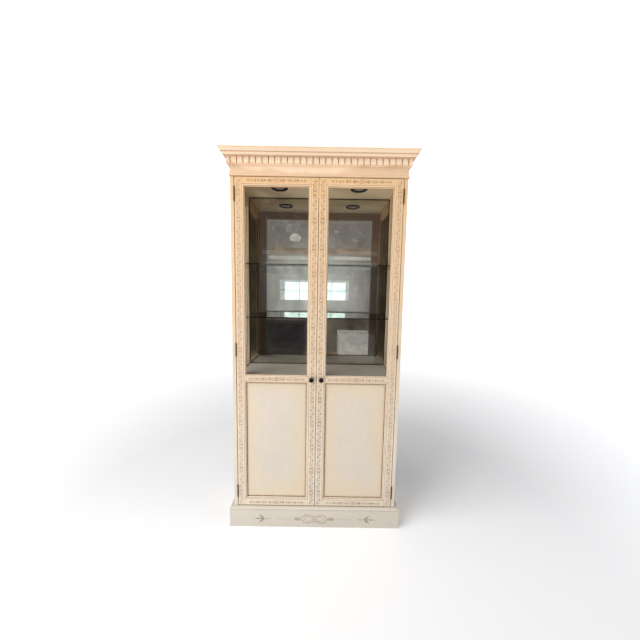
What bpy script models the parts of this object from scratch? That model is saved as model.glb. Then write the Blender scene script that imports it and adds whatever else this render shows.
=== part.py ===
"""Painted curio cabinet: a display case with a mirror back over a cupboard, behind two tall hinged doors.

+X is to the right as one faces the cabinet, -Y is towards the person, +Z is up.
The origin is on the floor, at the middle of the whole footprint. All sizes are in metres.
"""

import math

import bmesh
import bpy
from mathutils import Matrix, Vector

# Driving sizes -----------------------------------------------------------------------------------
HEIGHT = 2.138                 # floor to the top of the crown
CASE_WIDTH = 0.958             # over the two sides, without the mouldings
CASE_DEPTH = 0.345             # front edge of the sides to the back of the rear posts
SIDE_THICKNESS = 0.020         # the framed sides, seen as a narrow strip beside each door

FIT_GAP = 0.0003               # between pieces that touch
EDGE_ROUND = 0.0010            # softened edges of the painted boards

PLINTH_HEIGHT = 0.118
PLINTH_PROUD = 0.0225          # how far the plinth stands out from the case
PLINTH_CAP = 0.006             # radius of the rounded top edge of the plinth
PLINTH_GROOVE_DROP = 0.009     # top of the scratched line below the plinth's top
PLINTH_GROOVE_HEIGHT = 0.0018
PLINTH_GROOVE_DEPTH = 0.0014

HEAD_HEIGHT = 0.131            # frieze, dentils and crown together
FRIEZE_THICKNESS = 0.020
FRIEZE_PROUD = 0.001
FRIEZE_BEAD_HEIGHT = 0.011
FRIEZE_BEAD_PROUD = 0.0065
CROWN_HEIGHT = 0.039
CROWN_PROUD = 0.050
CROWN_BED_PROUD = 0.027        # lowest fillet of the crown
CROWN_FILLET = 0.003
CROWN_BANDS = ((0.0290, 0.0360, 0.0150), (0.0392, 0.0486, 0.0335))  # foot, top, and height over the bed
CROWN_QUIRK = 0.0015           # square step between the two sloping bands
CROWN_SWAY = 0.0006            # how far each sloping band bends either way
DENTIL_HEIGHT = 0.032
DENTIL_PROUD = 0.016
DENTIL_PITCH = 0.0337
DENTIL_SLOT = 0.0052           # gap between two teeth
STRIP_HEIGHT = 0.006           # plain strip under the teeth
STRIP_PROUD = 0.007
TOP_BOARD_THICKNESS = 0.016
TOP_BOARD_RECESS = 0.003       # how far the top board lies below the crown's top edge

FRONT_STILE_WIDTH = 0.045      # of the sides, front to back
REAR_POST_WIDTH = 0.036
SIDE_TOP_RAIL = 0.060
SIDE_SILL = 0.014              # height of the side board above the display deck
SIDE_FIELD_DEPTH = 0.005       # recessed field of the lower side board
SIDE_FIELD_MARGIN = 0.055
SIDE_GLASS_INSET = 0.0095      # inner face of the side glass, outside the inner face of the frame
SIDE_CLEARANCE = 0.001         # under the side frames, so that the plinth carries the case

SHELF_BOARD = 0.018            # deck, cupboard floor and ceiling boards
CEILING_THICKNESS = 0.015
DECK_TOP = 0.911
CUPBOARD_SHELF_TOP = 0.508
CUPBOARD_SHELF_THICKNESS = 0.016
CUPBOARD_SHELF_SETBACK = 0.045
GLASS_SHELF_THICKNESS = 0.006
GLASS_SHELF_TOPS = {"lower": 1.2495, "upper": 1.5525}
GLASS_SHELF_SETBACK = 0.042    # front edge of the glass shelves behind the case front
SHELF_END_CLEARANCE = 0.0015
SHELF_BACK_CLEARANCE = 0.004

BACK_THICKNESS = 0.006
BACK_INSET = 0.002             # the back board lies this far inside the rear posts
BACK_BOTTOM = 0.020
MIRROR_THICKNESS = 0.004
GLASS_THICKNESS = 0.004

DOOR_THICKNESS = 0.020
DOOR_REVEAL = 0.003            # gap over and under the doors
HINGE_GAP = 0.0030             # gap beside the hinged edge
MEETING_GAP = 0.003            # gap between the two doors
STILE_FLAT = 0.040
TOP_RAIL_FLAT = 0.036
MID_RAIL_FLAT = 0.020
BOTTOM_RAIL_FLAT = 0.036
MID_RAIL_CENTRE = 0.895
STICKING_WIDTH = 0.014         # moulded edge around the glass and the panel
STICKING_DEPTH = 0.011
STICKING_BURY = 0.002          # how far the moulding runs into the flat board
STICKING_STEP = 0.0028         # drop from the flat to the foot of the bead
STICKING_BEAD_START = 0.0008
STICKING_BEAD_RADIUS = 0.0034
STICKING_BEAD_RISE = 0.0018
STICKING_QUIRK_WIDTH = 0.0007  # fine line between the bead and the cove
STICKING_QUIRK_DROP = 0.0014
STICKING_COVE_FALL = 0.0046
STICKING_NOSE = 0.0008
STICKING_EDGE = 0.0018         # square edge against the glass
GLAZING_CLEARANCE = 0.001
PANEL_THICKNESS = 0.006
DOOR_EDGE_ROUND = 0.0018

KNOB_RADIUS = 0.0140
KNOB_LENGTH = 0.0250
KNOB_FLANGE_RADIUS = 0.0085
KNOB_FLANGE_HEIGHT = 0.0016
KNOB_WAIST_RADIUS = 0.0058
KNOB_WAIST_FROM = 0.0030
KNOB_WAIST_TO = 0.0085
KNOB_HEAD_HALF = 0.0095        # half the thickness of the domed head
KNOB_HEAD_START = -60          # degrees round the head where it leaves the waist
KNOB_FROM_CENTRE = 0.028
KNOB_HEIGHT = 0.896

HINGE_LENGTH = 0.076
HINGE_FROM_END = 0.090
HINGE_LEAF_DEPTH = 0.018
HINGE_LEAF_THICKNESS = 0.0009
HINGE_PLATE_SETBACK = 0.0006   # from the barrel's back to the plate's front edge
HINGE_TAB_LAP = 0.0007         # how far each knuckle's tab runs into the plate
HINGE_BARREL_RADIUS = 0.0028
HINGE_PIN_RADIUS = 0.0012
HINGE_PIN_CLEARANCE = 0.0001
HINGE_BARREL_CLEARANCE = 0.0008
HINGE_KNUCKLES = 5
HINGE_TIP_HEIGHT = 0.0022
HINGE_TIP_RADIUS = 0.0024

LIGHT_TRIM_RADIUS = 0.050
LIGHT_TRIM_THICKNESS = 0.004
LIGHT_CAN_RADIUS = 0.037
LIGHT_CAN_HEIGHT = 0.045
LIGHT_CAN_WALL = 0.0015
LIGHT_MOUTH_RADIUS = 0.0345
LIGHT_HOLE_CLEARANCE = 0.001
LIGHT_FROM_CENTRE = 0.236
LIGHT_FROM_FRONT = 0.166

CATCH_SIZE = (0.062, 0.018, 0.014)
CATCH_GAP = 0.0012             # between the catch and the back of the doors

ROUND_SEGMENTS = 32            # sides of the turned and drilled shapes
BARREL_SEGMENTS = 20
PIN_SEGMENTS = 16
SMOOTH_ANGLE = 35              # degrees; edges sharper than this stay crisp

# Places that follow from them --------------------------------------------------------------------
HALF_WIDTH = CASE_WIDTH / 2
FRONT = (CROWN_PROUD - CASE_DEPTH) / 2
BACK = FRONT + CASE_DEPTH
INNER_X = HALF_WIDTH - SIDE_THICKNESS
HEAD_BOTTOM = HEIGHT - HEAD_HEIGHT
CROWN_BOTTOM = HEIGHT - CROWN_HEIGHT
DENTIL_BOTTOM = CROWN_BOTTOM - DENTIL_HEIGHT
STRIP_BOTTOM = DENTIL_BOTTOM - STRIP_HEIGHT
TOP_BOARD_TOP = HEIGHT - TOP_BOARD_RECESS
TOP_BOARD_BOTTOM = TOP_BOARD_TOP - TOP_BOARD_THICKNESS
DOOR_BOTTOM = PLINTH_HEIGHT + DOOR_REVEAL
DOOR_TOP = HEAD_BOTTOM - DOOR_REVEAL
DOOR_INNER = MEETING_GAP / 2
DOOR_OUTER = INNER_X - HINGE_GAP
BACK_FACE = BACK - BACK_INSET - BACK_THICKNESS
MIRROR_FACE = BACK_FACE - FIT_GAP - MIRROR_THICKNESS
BOARD_END = INNER_X - FIT_GAP
BOARD_REAR = BACK_FACE - FIT_GAP
SILL_TOP = DECK_TOP + SIDE_SILL
SIDE_TOP = HEAD_BOTTOM - FIT_GAP
SIDE_RAIL_BOTTOM = SIDE_TOP - SIDE_TOP_RAIL
STILE_REAR = FRONT + FRONT_STILE_WIDTH
POST_FRONT = BACK - REAR_POST_WIDTH
PIN_X = INNER_X - HINGE_GAP / 2
PIN_Y = FRONT - HINGE_BARREL_RADIUS - HINGE_BARREL_CLEARANCE

SIDES = {"left": -1, "right": 1}


# Materials ---------------------------------------------------------------------------------------
def material(name, colour, roughness, metallic=0.0, alpha=1.0):
    """A Principled material, made once and shared by every piece that has it."""
    found = bpy.data.materials.get(name)
    if found:
        return found
    made = bpy.data.materials.new(name)
    made.use_nodes = True
    shader = made.node_tree.nodes["Principled BSDF"]
    shader.inputs["Base Color"].default_value = (*colour, 1.0)
    shader.inputs["Roughness"].default_value = roughness
    shader.inputs["Metallic"].default_value = metallic
    shader.inputs["Alpha"].default_value = alpha
    return made


def antique_cream():
    return material("antique_cream", (0.82, 0.66, 0.44), 0.45)


def plinth_cream():
    return material("plinth_cream", (0.70, 0.63, 0.52), 0.50)


def panel_cream():
    return material("panel_cream", (0.76, 0.66, 0.50), 0.45)


def interior_paint():
    return material("interior_paint", (0.50, 0.42, 0.30), 0.60)


def back_board():
    return material("back_board", (0.32, 0.22, 0.13), 0.75)


def clear_glass():
    return material("clear_glass", (0.80, 0.88, 0.84), 0.03, alpha=0.25)


def mirror_silver():
    return material("mirror_silver", (0.85, 0.86, 0.87), 0.03, metallic=1.0)


def black_knob():
    return material("black_knob", (0.012, 0.011, 0.010), 0.15)


def dark_bronze():
    return material("dark_bronze", (0.13, 0.085, 0.05), 0.40, metallic=0.9)


def light_metal():
    return material("light_metal", (0.16, 0.12, 0.08), 0.35, metallic=0.8)


def catch_plastic():
    return material("catch_plastic", (0.10, 0.06, 0.03), 0.50)


# Shape helpers -----------------------------------------------------------------------------------
def add_object(name, mesh_maker, paint, smooth_angle=None):
    """Turn a bmesh into a named object with its material."""
    mesh = bpy.data.meshes.new(name)
    bmesh.ops.recalc_face_normals(mesh_maker, faces=mesh_maker.faces)
    mesh_maker.to_mesh(mesh)
    mesh_maker.free()
    if smooth_angle:
        mesh.shade_smooth()
        mesh.set_sharp_from_angle(angle=math.radians(smooth_angle))
    made = bpy.data.objects.new(name, mesh)
    bpy.context.collection.objects.link(made)
    if paint:
        mesh.materials.append(paint)
    return made


def box_bmesh(low, high, edge_round=0.0, segments=1):
    """A box between two corners, with all its edges softened when edge_round is given."""
    shape = bmesh.new()
    centre = (Vector(low) + Vector(high)) / 2
    size = Vector(high) - Vector(low)
    bmesh.ops.create_cube(shape, size=1.0, matrix=Matrix.Translation(centre) @ Matrix.Diagonal((*size, 1.0)))
    if edge_round:
        bmesh.ops.bevel(shape, geom=shape.edges[:], offset=edge_round, segments=segments,
                        profile=0.5, affect="EDGES")
    return shape


def board(name, low, high, paint, edge_round=EDGE_ROUND):
    return add_object(name, box_bmesh(low, high, edge_round), paint)


def prism_bmesh(start_points, end_points):
    """A closed solid between two outlines that have the same number of points."""
    shape = bmesh.new()
    start = [shape.verts.new(point) for point in start_points]
    end = [shape.verts.new(point) for point in end_points]
    count = len(start)
    shape.faces.new(start[::-1])
    shape.faces.new(end)
    for index in range(count):
        following = (index + 1) % count
        shape.faces.new((start[index], start[following], end[following], end[index]))
    return shape


def hide_cutter(cutter):
    cutter.hide_render = True
    cutter.display_type = "WIRE"


def combine(target, helper, operation):
    """Add a live Boolean between a piece and a hidden helper solid."""
    hide_cutter(helper)
    boolean = target.modifiers.new(helper.name, "BOOLEAN")
    boolean.operation = operation
    boolean.object = helper
    boolean.solver = "EXACT"


def quarter_arc(centre, radius_p, radius_z, start, end, steps):
    """Points of an elliptical arc in the (proud, height) plane, angles in degrees."""
    points = []
    for step in range(steps + 1):
        angle = math.radians(start + (end - start) * step / steps)
        points.append((centre[0] + radius_p * math.cos(angle), centre[1] + radius_z * math.sin(angle)))
    return points


def turned_bmesh(profile):
    """Spin a closed (radius, height) outline about Z; part of it may lie on the axis."""
    shape = bmesh.new()
    outline = [shape.verts.new((radius, 0.0, height)) for radius, height in profile]
    edges = []
    for first, second in zip(outline, outline[1:] + outline[:1]):
        on_axis = first.co.x == 0.0 and second.co.x == 0.0
        if not on_axis:
            edges.append(shape.edges.new((first, second)))
    bmesh.ops.spin(shape, geom=outline + edges, cent=(0, 0, 0), axis=(0, 0, 1),
                   angle=math.tau, steps=ROUND_SEGMENTS, use_merge=True)
    bmesh.ops.remove_doubles(shape, verts=shape.verts, dist=1e-6)
    return shape


def section_run(section, where):
    """Extrude a (proud, height) section along the front, or along the left or right side.

    The three runs meet on mitres at the front corners, and the side runs end square at the back.
    """
    mitre = FIT_GAP / 2
    if where == "front":
        start = [(-HALF_WIDTH - p + mitre, FRONT - p, z) for p, z in section]
        end = [(HALF_WIDTH + p - mitre, FRONT - p, z) for p, z in section]
        return prism_bmesh(start, end)
    side = SIDES[where]
    start = [(side * (HALF_WIDTH + p), FRONT - p + mitre, z) for p, z in section]
    end = [(side * (HALF_WIDTH + p), BACK, z) for p, z in section]
    return prism_bmesh(start, end)


def wrap_moulding(name, section, paint):
    """The same moulding on the front and both sides, as three mitred pieces."""
    for where in ("front", "left", "right"):
        add_object(f"{name}_{where}", section_run(section, where), paint, SMOOTH_ANGLE)


# Plinth and head ---------------------------------------------------------------------------------
def make_plinth():
    groove_high = PLINTH_HEIGHT - PLINTH_GROOVE_DROP
    groove_low = groove_high - PLINTH_GROOVE_HEIGHT
    groove_floor = PLINTH_PROUD - PLINTH_GROOVE_DEPTH
    cap_centre = (PLINTH_PROUD - PLINTH_CAP, PLINTH_HEIGHT - PLINTH_CAP)
    section = [(FIT_GAP, 0.0), (PLINTH_PROUD, 0.0), (PLINTH_PROUD, groove_low)]
    section += [(groove_floor, groove_low), (groove_floor, groove_high), (PLINTH_PROUD, groove_high)]
    section += quarter_arc(cap_centre, PLINTH_CAP, PLINTH_CAP, 0, 90, 5)
    section += [(FIT_GAP, PLINTH_HEIGHT)]
    wrap_moulding("plinth", section, plinth_cream())


def make_frieze():
    bead_middle = (FRIEZE_PROUD, HEAD_BOTTOM + FRIEZE_BEAD_HEIGHT / 2)
    bead_reach = FRIEZE_BEAD_PROUD - FRIEZE_PROUD
    top = TOP_BOARD_BOTTOM - FIT_GAP
    rear = FRIEZE_PROUD - FRIEZE_THICKNESS
    section = [(rear, HEAD_BOTTOM)]
    section += quarter_arc(bead_middle, bead_reach, FRIEZE_BEAD_HEIGHT / 2, -90, 90, 6)
    section += [(FRIEZE_PROUD, top), (rear, top)]
    wrap_moulding("frieze", section, antique_cream())


def crown_section():
    """Bed fillet, two sloping bands with a square step between them, and the top lip."""
    rear = FRIEZE_PROUD + FIT_GAP
    bed = CROWN_BOTTOM + FIT_GAP
    section = [(rear, bed), (CROWN_BED_PROUD, bed), (CROWN_BED_PROUD, bed + CROWN_FILLET)]
    foot_height = bed + CROWN_FILLET
    steps = 6
    for foot, top, rise in CROWN_BANDS:
        slope_start = Vector((foot, foot_height))
        slope_end = Vector((top, bed + rise))
        across = Vector((slope_start.y - slope_end.y, slope_end.x - slope_start.x)).normalized()
        for step in range(steps + 1):
            share = step / steps
            sway = CROWN_SWAY * math.sin(math.tau * share)
            section.append(tuple(slope_start.lerp(slope_end, share) + across * sway))
        foot_height = bed + rise + CROWN_QUIRK
        section.append((top, foot_height))
    section[-1] = (CROWN_PROUD, bed + CROWN_BANDS[-1][-1])
    section += [(CROWN_PROUD, HEIGHT), (rear, HEIGHT)]
    return section


def make_crown():
    wrap_moulding("crown", crown_section(), antique_cream())


def run_of_teeth(length, first_block):
    """Start and end of each slot along a run that begins with a corner block."""
    slots = []
    position = first_block
    while position + DENTIL_SLOT < length:
        slots.append((position, position + DENTIL_SLOT))
        position += DENTIL_PITCH
    return slots


def dentil_outline():
    """Plan of the toothed band: outer edge with slots from the left back round to the right back."""
    outer_x = HALF_WIDTH + DENTIL_PROUD
    outer_y = FRONT - DENTIL_PROUD
    inner = FRIEZE_PROUD + FIT_GAP
    front_length = 2 * outer_x
    side_length = BACK - outer_y
    tooth_count = int((front_length - DENTIL_SLOT) / DENTIL_PITCH) - 1
    corner_block = (front_length - tooth_count * DENTIL_PITCH - DENTIL_SLOT) / 2
    slot_depth = DENTIL_PROUD - STRIP_PROUD
    side_points = []
    for start, end in run_of_teeth(side_length, corner_block):
        side_points += [(start, 0.0), (start, slot_depth), (end, slot_depth), (end, 0.0)]
    front_points = []
    for index in range(tooth_count + 1):
        start = corner_block + index * DENTIL_PITCH
        end = start + DENTIL_SLOT
        front_points += [(start, 0.0), (start, slot_depth), (end, slot_depth), (end, 0.0)]
    outline = [(-outer_x, BACK)]
    outline += [(-outer_x + depth, outer_y + along) for along, depth in reversed(side_points)]
    outline += [(-outer_x, outer_y)]
    outline += [(-outer_x + along, outer_y + depth) for along, depth in front_points]
    outline += [(outer_x, outer_y)]
    outline += [(outer_x - depth, outer_y + along) for along, depth in side_points]
    outline += [(outer_x, BACK), (HALF_WIDTH + inner, BACK), (HALF_WIDTH + inner, FRONT - inner)]
    outline += [(-HALF_WIDTH - inner, FRONT - inner), (-HALF_WIDTH - inner, BACK)]
    return outline


def strip_outline():
    inner = FRIEZE_PROUD + FIT_GAP
    outer_x = HALF_WIDTH + STRIP_PROUD
    outer_y = FRONT - STRIP_PROUD
    return [(-outer_x, BACK), (-outer_x, outer_y), (outer_x, outer_y), (outer_x, BACK),
            (HALF_WIDTH + inner, BACK), (HALF_WIDTH + inner, FRONT - inner),
            (-HALF_WIDTH - inner, FRONT - inner), (-HALF_WIDTH - inner, BACK)]


def make_dentils():
    """One band with its row of teeth, wrapped round the front and the sides."""
    top = CROWN_BOTTOM
    teeth = dentil_outline()
    band = prism_bmesh([(x, y, DENTIL_BOTTOM) for x, y in teeth], [(x, y, top) for x, y in teeth])
    moulding = add_object("dentil_moulding", band, antique_cream())
    strip = strip_outline()
    lap = DENTIL_BOTTOM + DENTIL_HEIGHT / 4
    under = prism_bmesh([(x, y, STRIP_BOTTOM) for x, y in strip], [(x, y, lap) for x, y in strip])
    combine(moulding, add_object("dentil_strip_guide", under, None), "UNION")


def make_top_board():
    reach = FRIEZE_PROUD
    board("top_board", (-HALF_WIDTH - reach, FRONT - reach, TOP_BOARD_BOTTOM),
          (HALF_WIDTH + reach, BACK, TOP_BOARD_TOP), antique_cream())


# Case --------------------------------------------------------------------------------------------
def side_box(side, inner, outer, y_low, y_high, z_low, z_high):
    """Corners of a box that lies between two distances from the middle, on one side."""
    x_low, x_high = sorted((side * inner, side * outer))
    return (x_low, y_low, z_low), (x_high, y_high, z_high)


def make_side(label, side):
    """One framed side: front stile, rear post, top rail, lower board and a glass above it."""
    rail_front = STILE_REAR + FIT_GAP
    rail_rear = POST_FRONT - FIT_GAP
    low, high = side_box(side, INNER_X, HALF_WIDTH, FRONT, STILE_REAR, SIDE_CLEARANCE, SIDE_TOP)
    board(f"{label}_side_front_stile", low, high, antique_cream())
    low, high = side_box(side, INNER_X, HALF_WIDTH, POST_FRONT, BACK, SIDE_CLEARANCE, SIDE_TOP)
    board(f"{label}_side_rear_post", low, high, antique_cream())
    low, high = side_box(side, INNER_X, HALF_WIDTH, rail_front, rail_rear, SIDE_RAIL_BOTTOM, SIDE_TOP)
    board(f"{label}_side_top_rail", low, high, antique_cream())

    low, high = side_box(side, INNER_X, HALF_WIDTH, rail_front, rail_rear, SIDE_CLEARANCE, SILL_TOP)
    lower = board(f"{label}_side_lower_board", low, high, panel_cream())
    field_inner = HALF_WIDTH - SIDE_FIELD_DEPTH
    field_low, field_high = side_box(side, field_inner, HALF_WIDTH + SIDE_FIELD_DEPTH,
                                     rail_front + SIDE_FIELD_MARGIN / 2, rail_rear - SIDE_FIELD_MARGIN / 2,
                                     PLINTH_HEIGHT + SIDE_FIELD_MARGIN, SILL_TOP - SIDE_FIELD_MARGIN)
    field = add_object(f"{label}_side_field_cutter", box_bmesh(field_low, field_high), None)
    combine(lower, field, "DIFFERENCE")

    glass_inner = INNER_X + SIDE_GLASS_INSET
    low, high = side_box(side, glass_inner, glass_inner + GLASS_THICKNESS, rail_front, rail_rear,
                         SILL_TOP + FIT_GAP, SIDE_RAIL_BOTTOM - FIT_GAP)
    board(f"{label}_side_glass", low, high, clear_glass(), edge_round=0.0)


def make_inside():
    """Floor, deck, ceiling, back, mirror and the three shelves."""
    behind_doors = FRONT + DOOR_THICKNESS + DOOR_REVEAL
    board("cupboard_floor", (-BOARD_END, FRONT + FIT_GAP, PLINTH_HEIGHT - SHELF_BOARD),
          (BOARD_END, BOARD_REAR, PLINTH_HEIGHT), interior_paint())
    board("display_deck", (-BOARD_END, behind_doors, DECK_TOP - SHELF_BOARD),
          (BOARD_END, BOARD_REAR, DECK_TOP), interior_paint())
    board("back_board", (-BOARD_END, BACK_FACE, BACK_BOTTOM),
          (BOARD_END, BACK_FACE + BACK_THICKNESS, TOP_BOARD_BOTTOM - FIT_GAP), back_board(), edge_round=0.0)
    board("mirror", (-BOARD_END, MIRROR_FACE, DECK_TOP + FIT_GAP),
          (BOARD_END, MIRROR_FACE + MIRROR_THICKNESS, HEAD_BOTTOM - FIT_GAP),
          mirror_silver(), edge_round=0.0)
    make_ceiling()

    shelf_end = INNER_X - SHELF_END_CLEARANCE
    shelf_rear = MIRROR_FACE - SHELF_BACK_CLEARANCE
    for level, top in GLASS_SHELF_TOPS.items():
        board(f"{level}_glass_shelf", (-shelf_end, FRONT + GLASS_SHELF_SETBACK, top - GLASS_SHELF_THICKNESS),
              (shelf_end, shelf_rear, top), clear_glass(), edge_round=GLASS_SHELF_THICKNESS / 6)
    board("cupboard_shelf", (-shelf_end, FRONT + CUPBOARD_SHELF_SETBACK,
                             CUPBOARD_SHELF_TOP - CUPBOARD_SHELF_THICKNESS),
          (shelf_end, BACK_FACE - SHELF_BACK_CLEARANCE, CUPBOARD_SHELF_TOP), interior_paint())


def make_ceiling():
    """The ceiling board, drilled for its two lights."""
    front = FRONT - FRIEZE_PROUD + FRIEZE_THICKNESS + FIT_GAP
    ceiling = board("ceiling_board", (-BOARD_END, front, HEAD_BOTTOM),
                    (BOARD_END, BOARD_REAR, HEAD_BOTTOM + CEILING_THICKNESS), interior_paint())
    hole_radius = LIGHT_CAN_RADIUS + LIGHT_HOLE_CLEARANCE
    for label, side in SIDES.items():
        shape = bmesh.new()
        bmesh.ops.create_cone(shape, cap_ends=True, segments=ROUND_SEGMENTS, radius1=hole_radius,
                              radius2=hole_radius, depth=CEILING_THICKNESS * 3)
        drill = add_object(f"{label}_light_drill", shape, None)
        drill.location = (side * LIGHT_FROM_CENTRE, FRONT + LIGHT_FROM_FRONT, HEAD_BOTTOM)
        combine(ceiling, drill, "DIFFERENCE")
        make_light(label, side)


def make_light(label, side):
    """A recessed can with a trim ring under the ceiling, open at the bottom."""
    ring = LIGHT_TRIM_THICKNESS
    profile = [(LIGHT_MOUTH_RADIUS, -FIT_GAP), (LIGHT_MOUTH_RADIUS, -ring)]
    profile += [(LIGHT_MOUTH_RADIUS + ring, -ring - FIT_GAP), (LIGHT_TRIM_RADIUS - ring / 2, -ring)]
    profile += [(LIGHT_TRIM_RADIUS, -ring / 2), (LIGHT_TRIM_RADIUS, -FIT_GAP)]
    profile += [(LIGHT_CAN_RADIUS, -FIT_GAP), (LIGHT_CAN_RADIUS, LIGHT_CAN_HEIGHT), (0.0, LIGHT_CAN_HEIGHT)]
    inner_radius = LIGHT_CAN_RADIUS - LIGHT_CAN_WALL
    inner_top = LIGHT_CAN_HEIGHT - LIGHT_CAN_WALL
    profile += [(0.0, inner_top), (inner_radius, inner_top), (inner_radius, -FIT_GAP)]
    light = add_object(f"{label}_ceiling_light", turned_bmesh(profile), light_metal(), SMOOTH_ANGLE)
    light.location = (side * LIGHT_FROM_CENTRE, FRONT + LIGHT_FROM_FRONT, HEAD_BOTTOM)


def make_catch():
    """Double magnetic catch under the front of the deck, behind the meeting stiles."""
    width, depth, height = CATCH_SIZE
    front = FRONT + DOOR_THICKNESS + CATCH_GAP + DOOR_REVEAL
    top = DECK_TOP - SHELF_BOARD - FIT_GAP
    board("door_catch", (-width / 2, front, top - height), (width / 2, front + depth, top), catch_plastic())


# Doors -------------------------------------------------------------------------------------------
def sticking_section():
    """Moulded edge, a bead and then a cove: distance from the flat, and depth behind the door's face."""
    bead_middle = STICKING_BEAD_START + STICKING_BEAD_RADIUS
    section = [(-STICKING_BURY, STICKING_STEP), (STICKING_BEAD_START, STICKING_STEP)]
    bead_steps = 6
    for step in range(1, bead_steps + 1):
        angle = math.pi * (1 - step / bead_steps)
        section.append((bead_middle + STICKING_BEAD_RADIUS * math.cos(angle),
                        STICKING_STEP - STICKING_BEAD_RISE * math.sin(angle)))
    cove_start = bead_middle + STICKING_BEAD_RADIUS + STICKING_QUIRK_WIDTH
    cove_top = STICKING_STEP + STICKING_QUIRK_DROP
    cove_reach = STICKING_WIDTH - STICKING_NOSE - cove_start
    cove_steps = 4
    for step in range(cove_steps + 1):
        angle = math.pi / 2 * step / cove_steps
        section.append((cove_start + cove_reach * math.sin(angle),
                        cove_top + STICKING_COVE_FALL * (1 - math.cos(angle))))
    section += [(STICKING_WIDTH, STICKING_DEPTH - STICKING_EDGE), (STICKING_WIDTH, STICKING_DEPTH)]
    section += [(-STICKING_BURY, STICKING_DEPTH)]
    return section


def sticking_run(origin, inward, along, length):
    """A mitred length of the moulded edge; inward points from the flat into the opening."""
    trim = FIT_GAP / 2
    start = []
    end = []
    for offset, depth in sticking_section():
        base = Vector(origin) + Vector(inward) * offset + Vector((0, depth, 0))
        mitre = max(offset, 0.0) + trim
        start.append(base + Vector(along) * mitre)
        end.append(base + Vector(along) * (length - mitre))
    return prism_bmesh(start, end)


def frame_member(name, low, high, edges, hinge):
    """A door stile or rail: a flat board with moulded edges beside the openings."""
    member = add_object(name, box_bmesh(low, high, DOOR_EDGE_ROUND / 2, 2), antique_cream())
    for index, (origin, inward, along, length) in enumerate(edges):
        run = add_object(f"{name}_edge_guide_{index}", sticking_run(origin, inward, along, length), None)
        combine(member, run, "UNION")
    return hang(member, hinge)


def hang(piece, hinge):
    """Parent a piece to the empty on its hinge axis, keeping its place."""
    for part in [piece] + [modifier.object for modifier in piece.modifiers]:
        part.parent = hinge
        part.matrix_parent_inverse = hinge.matrix_world.inverted()
    return piece


def make_door(label, side):
    """One tall door, with glass over the mid rail and a flat panel under it."""
    hinge = bpy.data.objects.new(f"{label}_hinge_axis", None)
    bpy.context.collection.objects.link(hinge)
    hinge.location = (side * PIN_X, PIN_Y, 0.0)
    bpy.context.view_layer.update()

    near = DOOR_INNER + STILE_FLAT
    far = DOOR_OUTER - STILE_FLAT
    front = FRONT
    rear = FRONT + DOOR_THICKNESS
    upper = (MID_RAIL_CENTRE + MID_RAIL_FLAT / 2, DOOR_TOP - TOP_RAIL_FLAT)
    lower = (DOOR_BOTTOM + BOTTOM_RAIL_FLAT, MID_RAIL_CENTRE - MID_RAIL_FLAT / 2)
    towards_centre = (-side, 0, 0)
    away_from_centre = (side, 0, 0)
    up = (0, 0, 1)
    down = (0, 0, -1)

    def corners(inner, outer, z_low, z_high):
        return side_box(side, inner, outer, front, rear, z_low, z_high)

    low, high = corners(far + FIT_GAP, DOOR_OUTER, DOOR_BOTTOM, DOOR_TOP)
    edges = [((side * (far + FIT_GAP), front, z_low), towards_centre, up, z_high - z_low)
             for z_low, z_high in (lower, upper)]
    frame_member(f"{label}_door_hinge_stile", low, high, edges, hinge)

    low, high = corners(DOOR_INNER, near - FIT_GAP, DOOR_BOTTOM, DOOR_TOP)
    edges = [((side * (near - FIT_GAP), front, z_low), away_from_centre, up, z_high - z_low)
             for z_low, z_high in (lower, upper)]
    frame_member(f"{label}_door_meeting_stile", low, high, edges, hinge)

    span = far - near
    rails = {"top": (upper[1], DOOR_TOP, [(upper[1], down)]),
             "mid": (lower[1], upper[0], [(upper[0], up), (lower[1], down)]),
             "bottom": (DOOR_BOTTOM, lower[0], [(lower[0], up)])}
    for place, (z_low, z_high, moulded) in rails.items():
        low, high = corners(near, far, z_low, z_high)
        edges = [((side * near, front, z_edge), inward, away_from_centre, span)
                 for z_edge, inward in moulded]
        frame_member(f"{label}_door_{place}_rail", low, high, edges, hinge)

    fill_front = FRONT + STICKING_DEPTH + FIT_GAP
    inner = near + GLAZING_CLEARANCE
    outer = far - GLAZING_CLEARANCE
    low, high = side_box(side, inner, outer, fill_front, fill_front + GLASS_THICKNESS,
                         upper[0] + GLAZING_CLEARANCE, upper[1] - GLAZING_CLEARANCE)
    hang(board(f"{label}_door_glass", low, high, clear_glass(), edge_round=0.0), hinge)
    low, high = side_box(side, inner, outer, fill_front, fill_front + PANEL_THICKNESS,
                         lower[0] + GLAZING_CLEARANCE, lower[1] - GLAZING_CLEARANCE)
    hang(board(f"{label}_door_panel", low, high, panel_cream()), hinge)

    make_knob(label, side, hinge)
    make_hinges(label, side, hinge)


def make_knob(label, side, hinge):
    """Turned knob: a small flange, a waist and a domed head."""
    profile = [(0.0, 0.0), (KNOB_FLANGE_RADIUS, 0.0), (KNOB_FLANGE_RADIUS, KNOB_FLANGE_HEIGHT)]
    profile += [(KNOB_WAIST_RADIUS, KNOB_WAIST_FROM), (KNOB_WAIST_RADIUS, KNOB_WAIST_TO)]
    head_centre = (0.0, KNOB_LENGTH - KNOB_HEAD_HALF)
    head = quarter_arc(head_centre, KNOB_RADIUS, KNOB_HEAD_HALF, KNOB_HEAD_START, 90, 8)
    profile += head[:-1] + [(0.0, KNOB_LENGTH)]
    knob = add_object(f"{label}_knob", turned_bmesh(profile), black_knob(), SMOOTH_ANGLE)
    knob.matrix_world = (Matrix.Translation((side * KNOB_FROM_CENTRE, FRONT - FIT_GAP, KNOB_HEIGHT))
                         @ Matrix.Rotation(math.radians(90), 4, "X"))
    bpy.context.view_layer.update()
    hang(knob, hinge)


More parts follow.
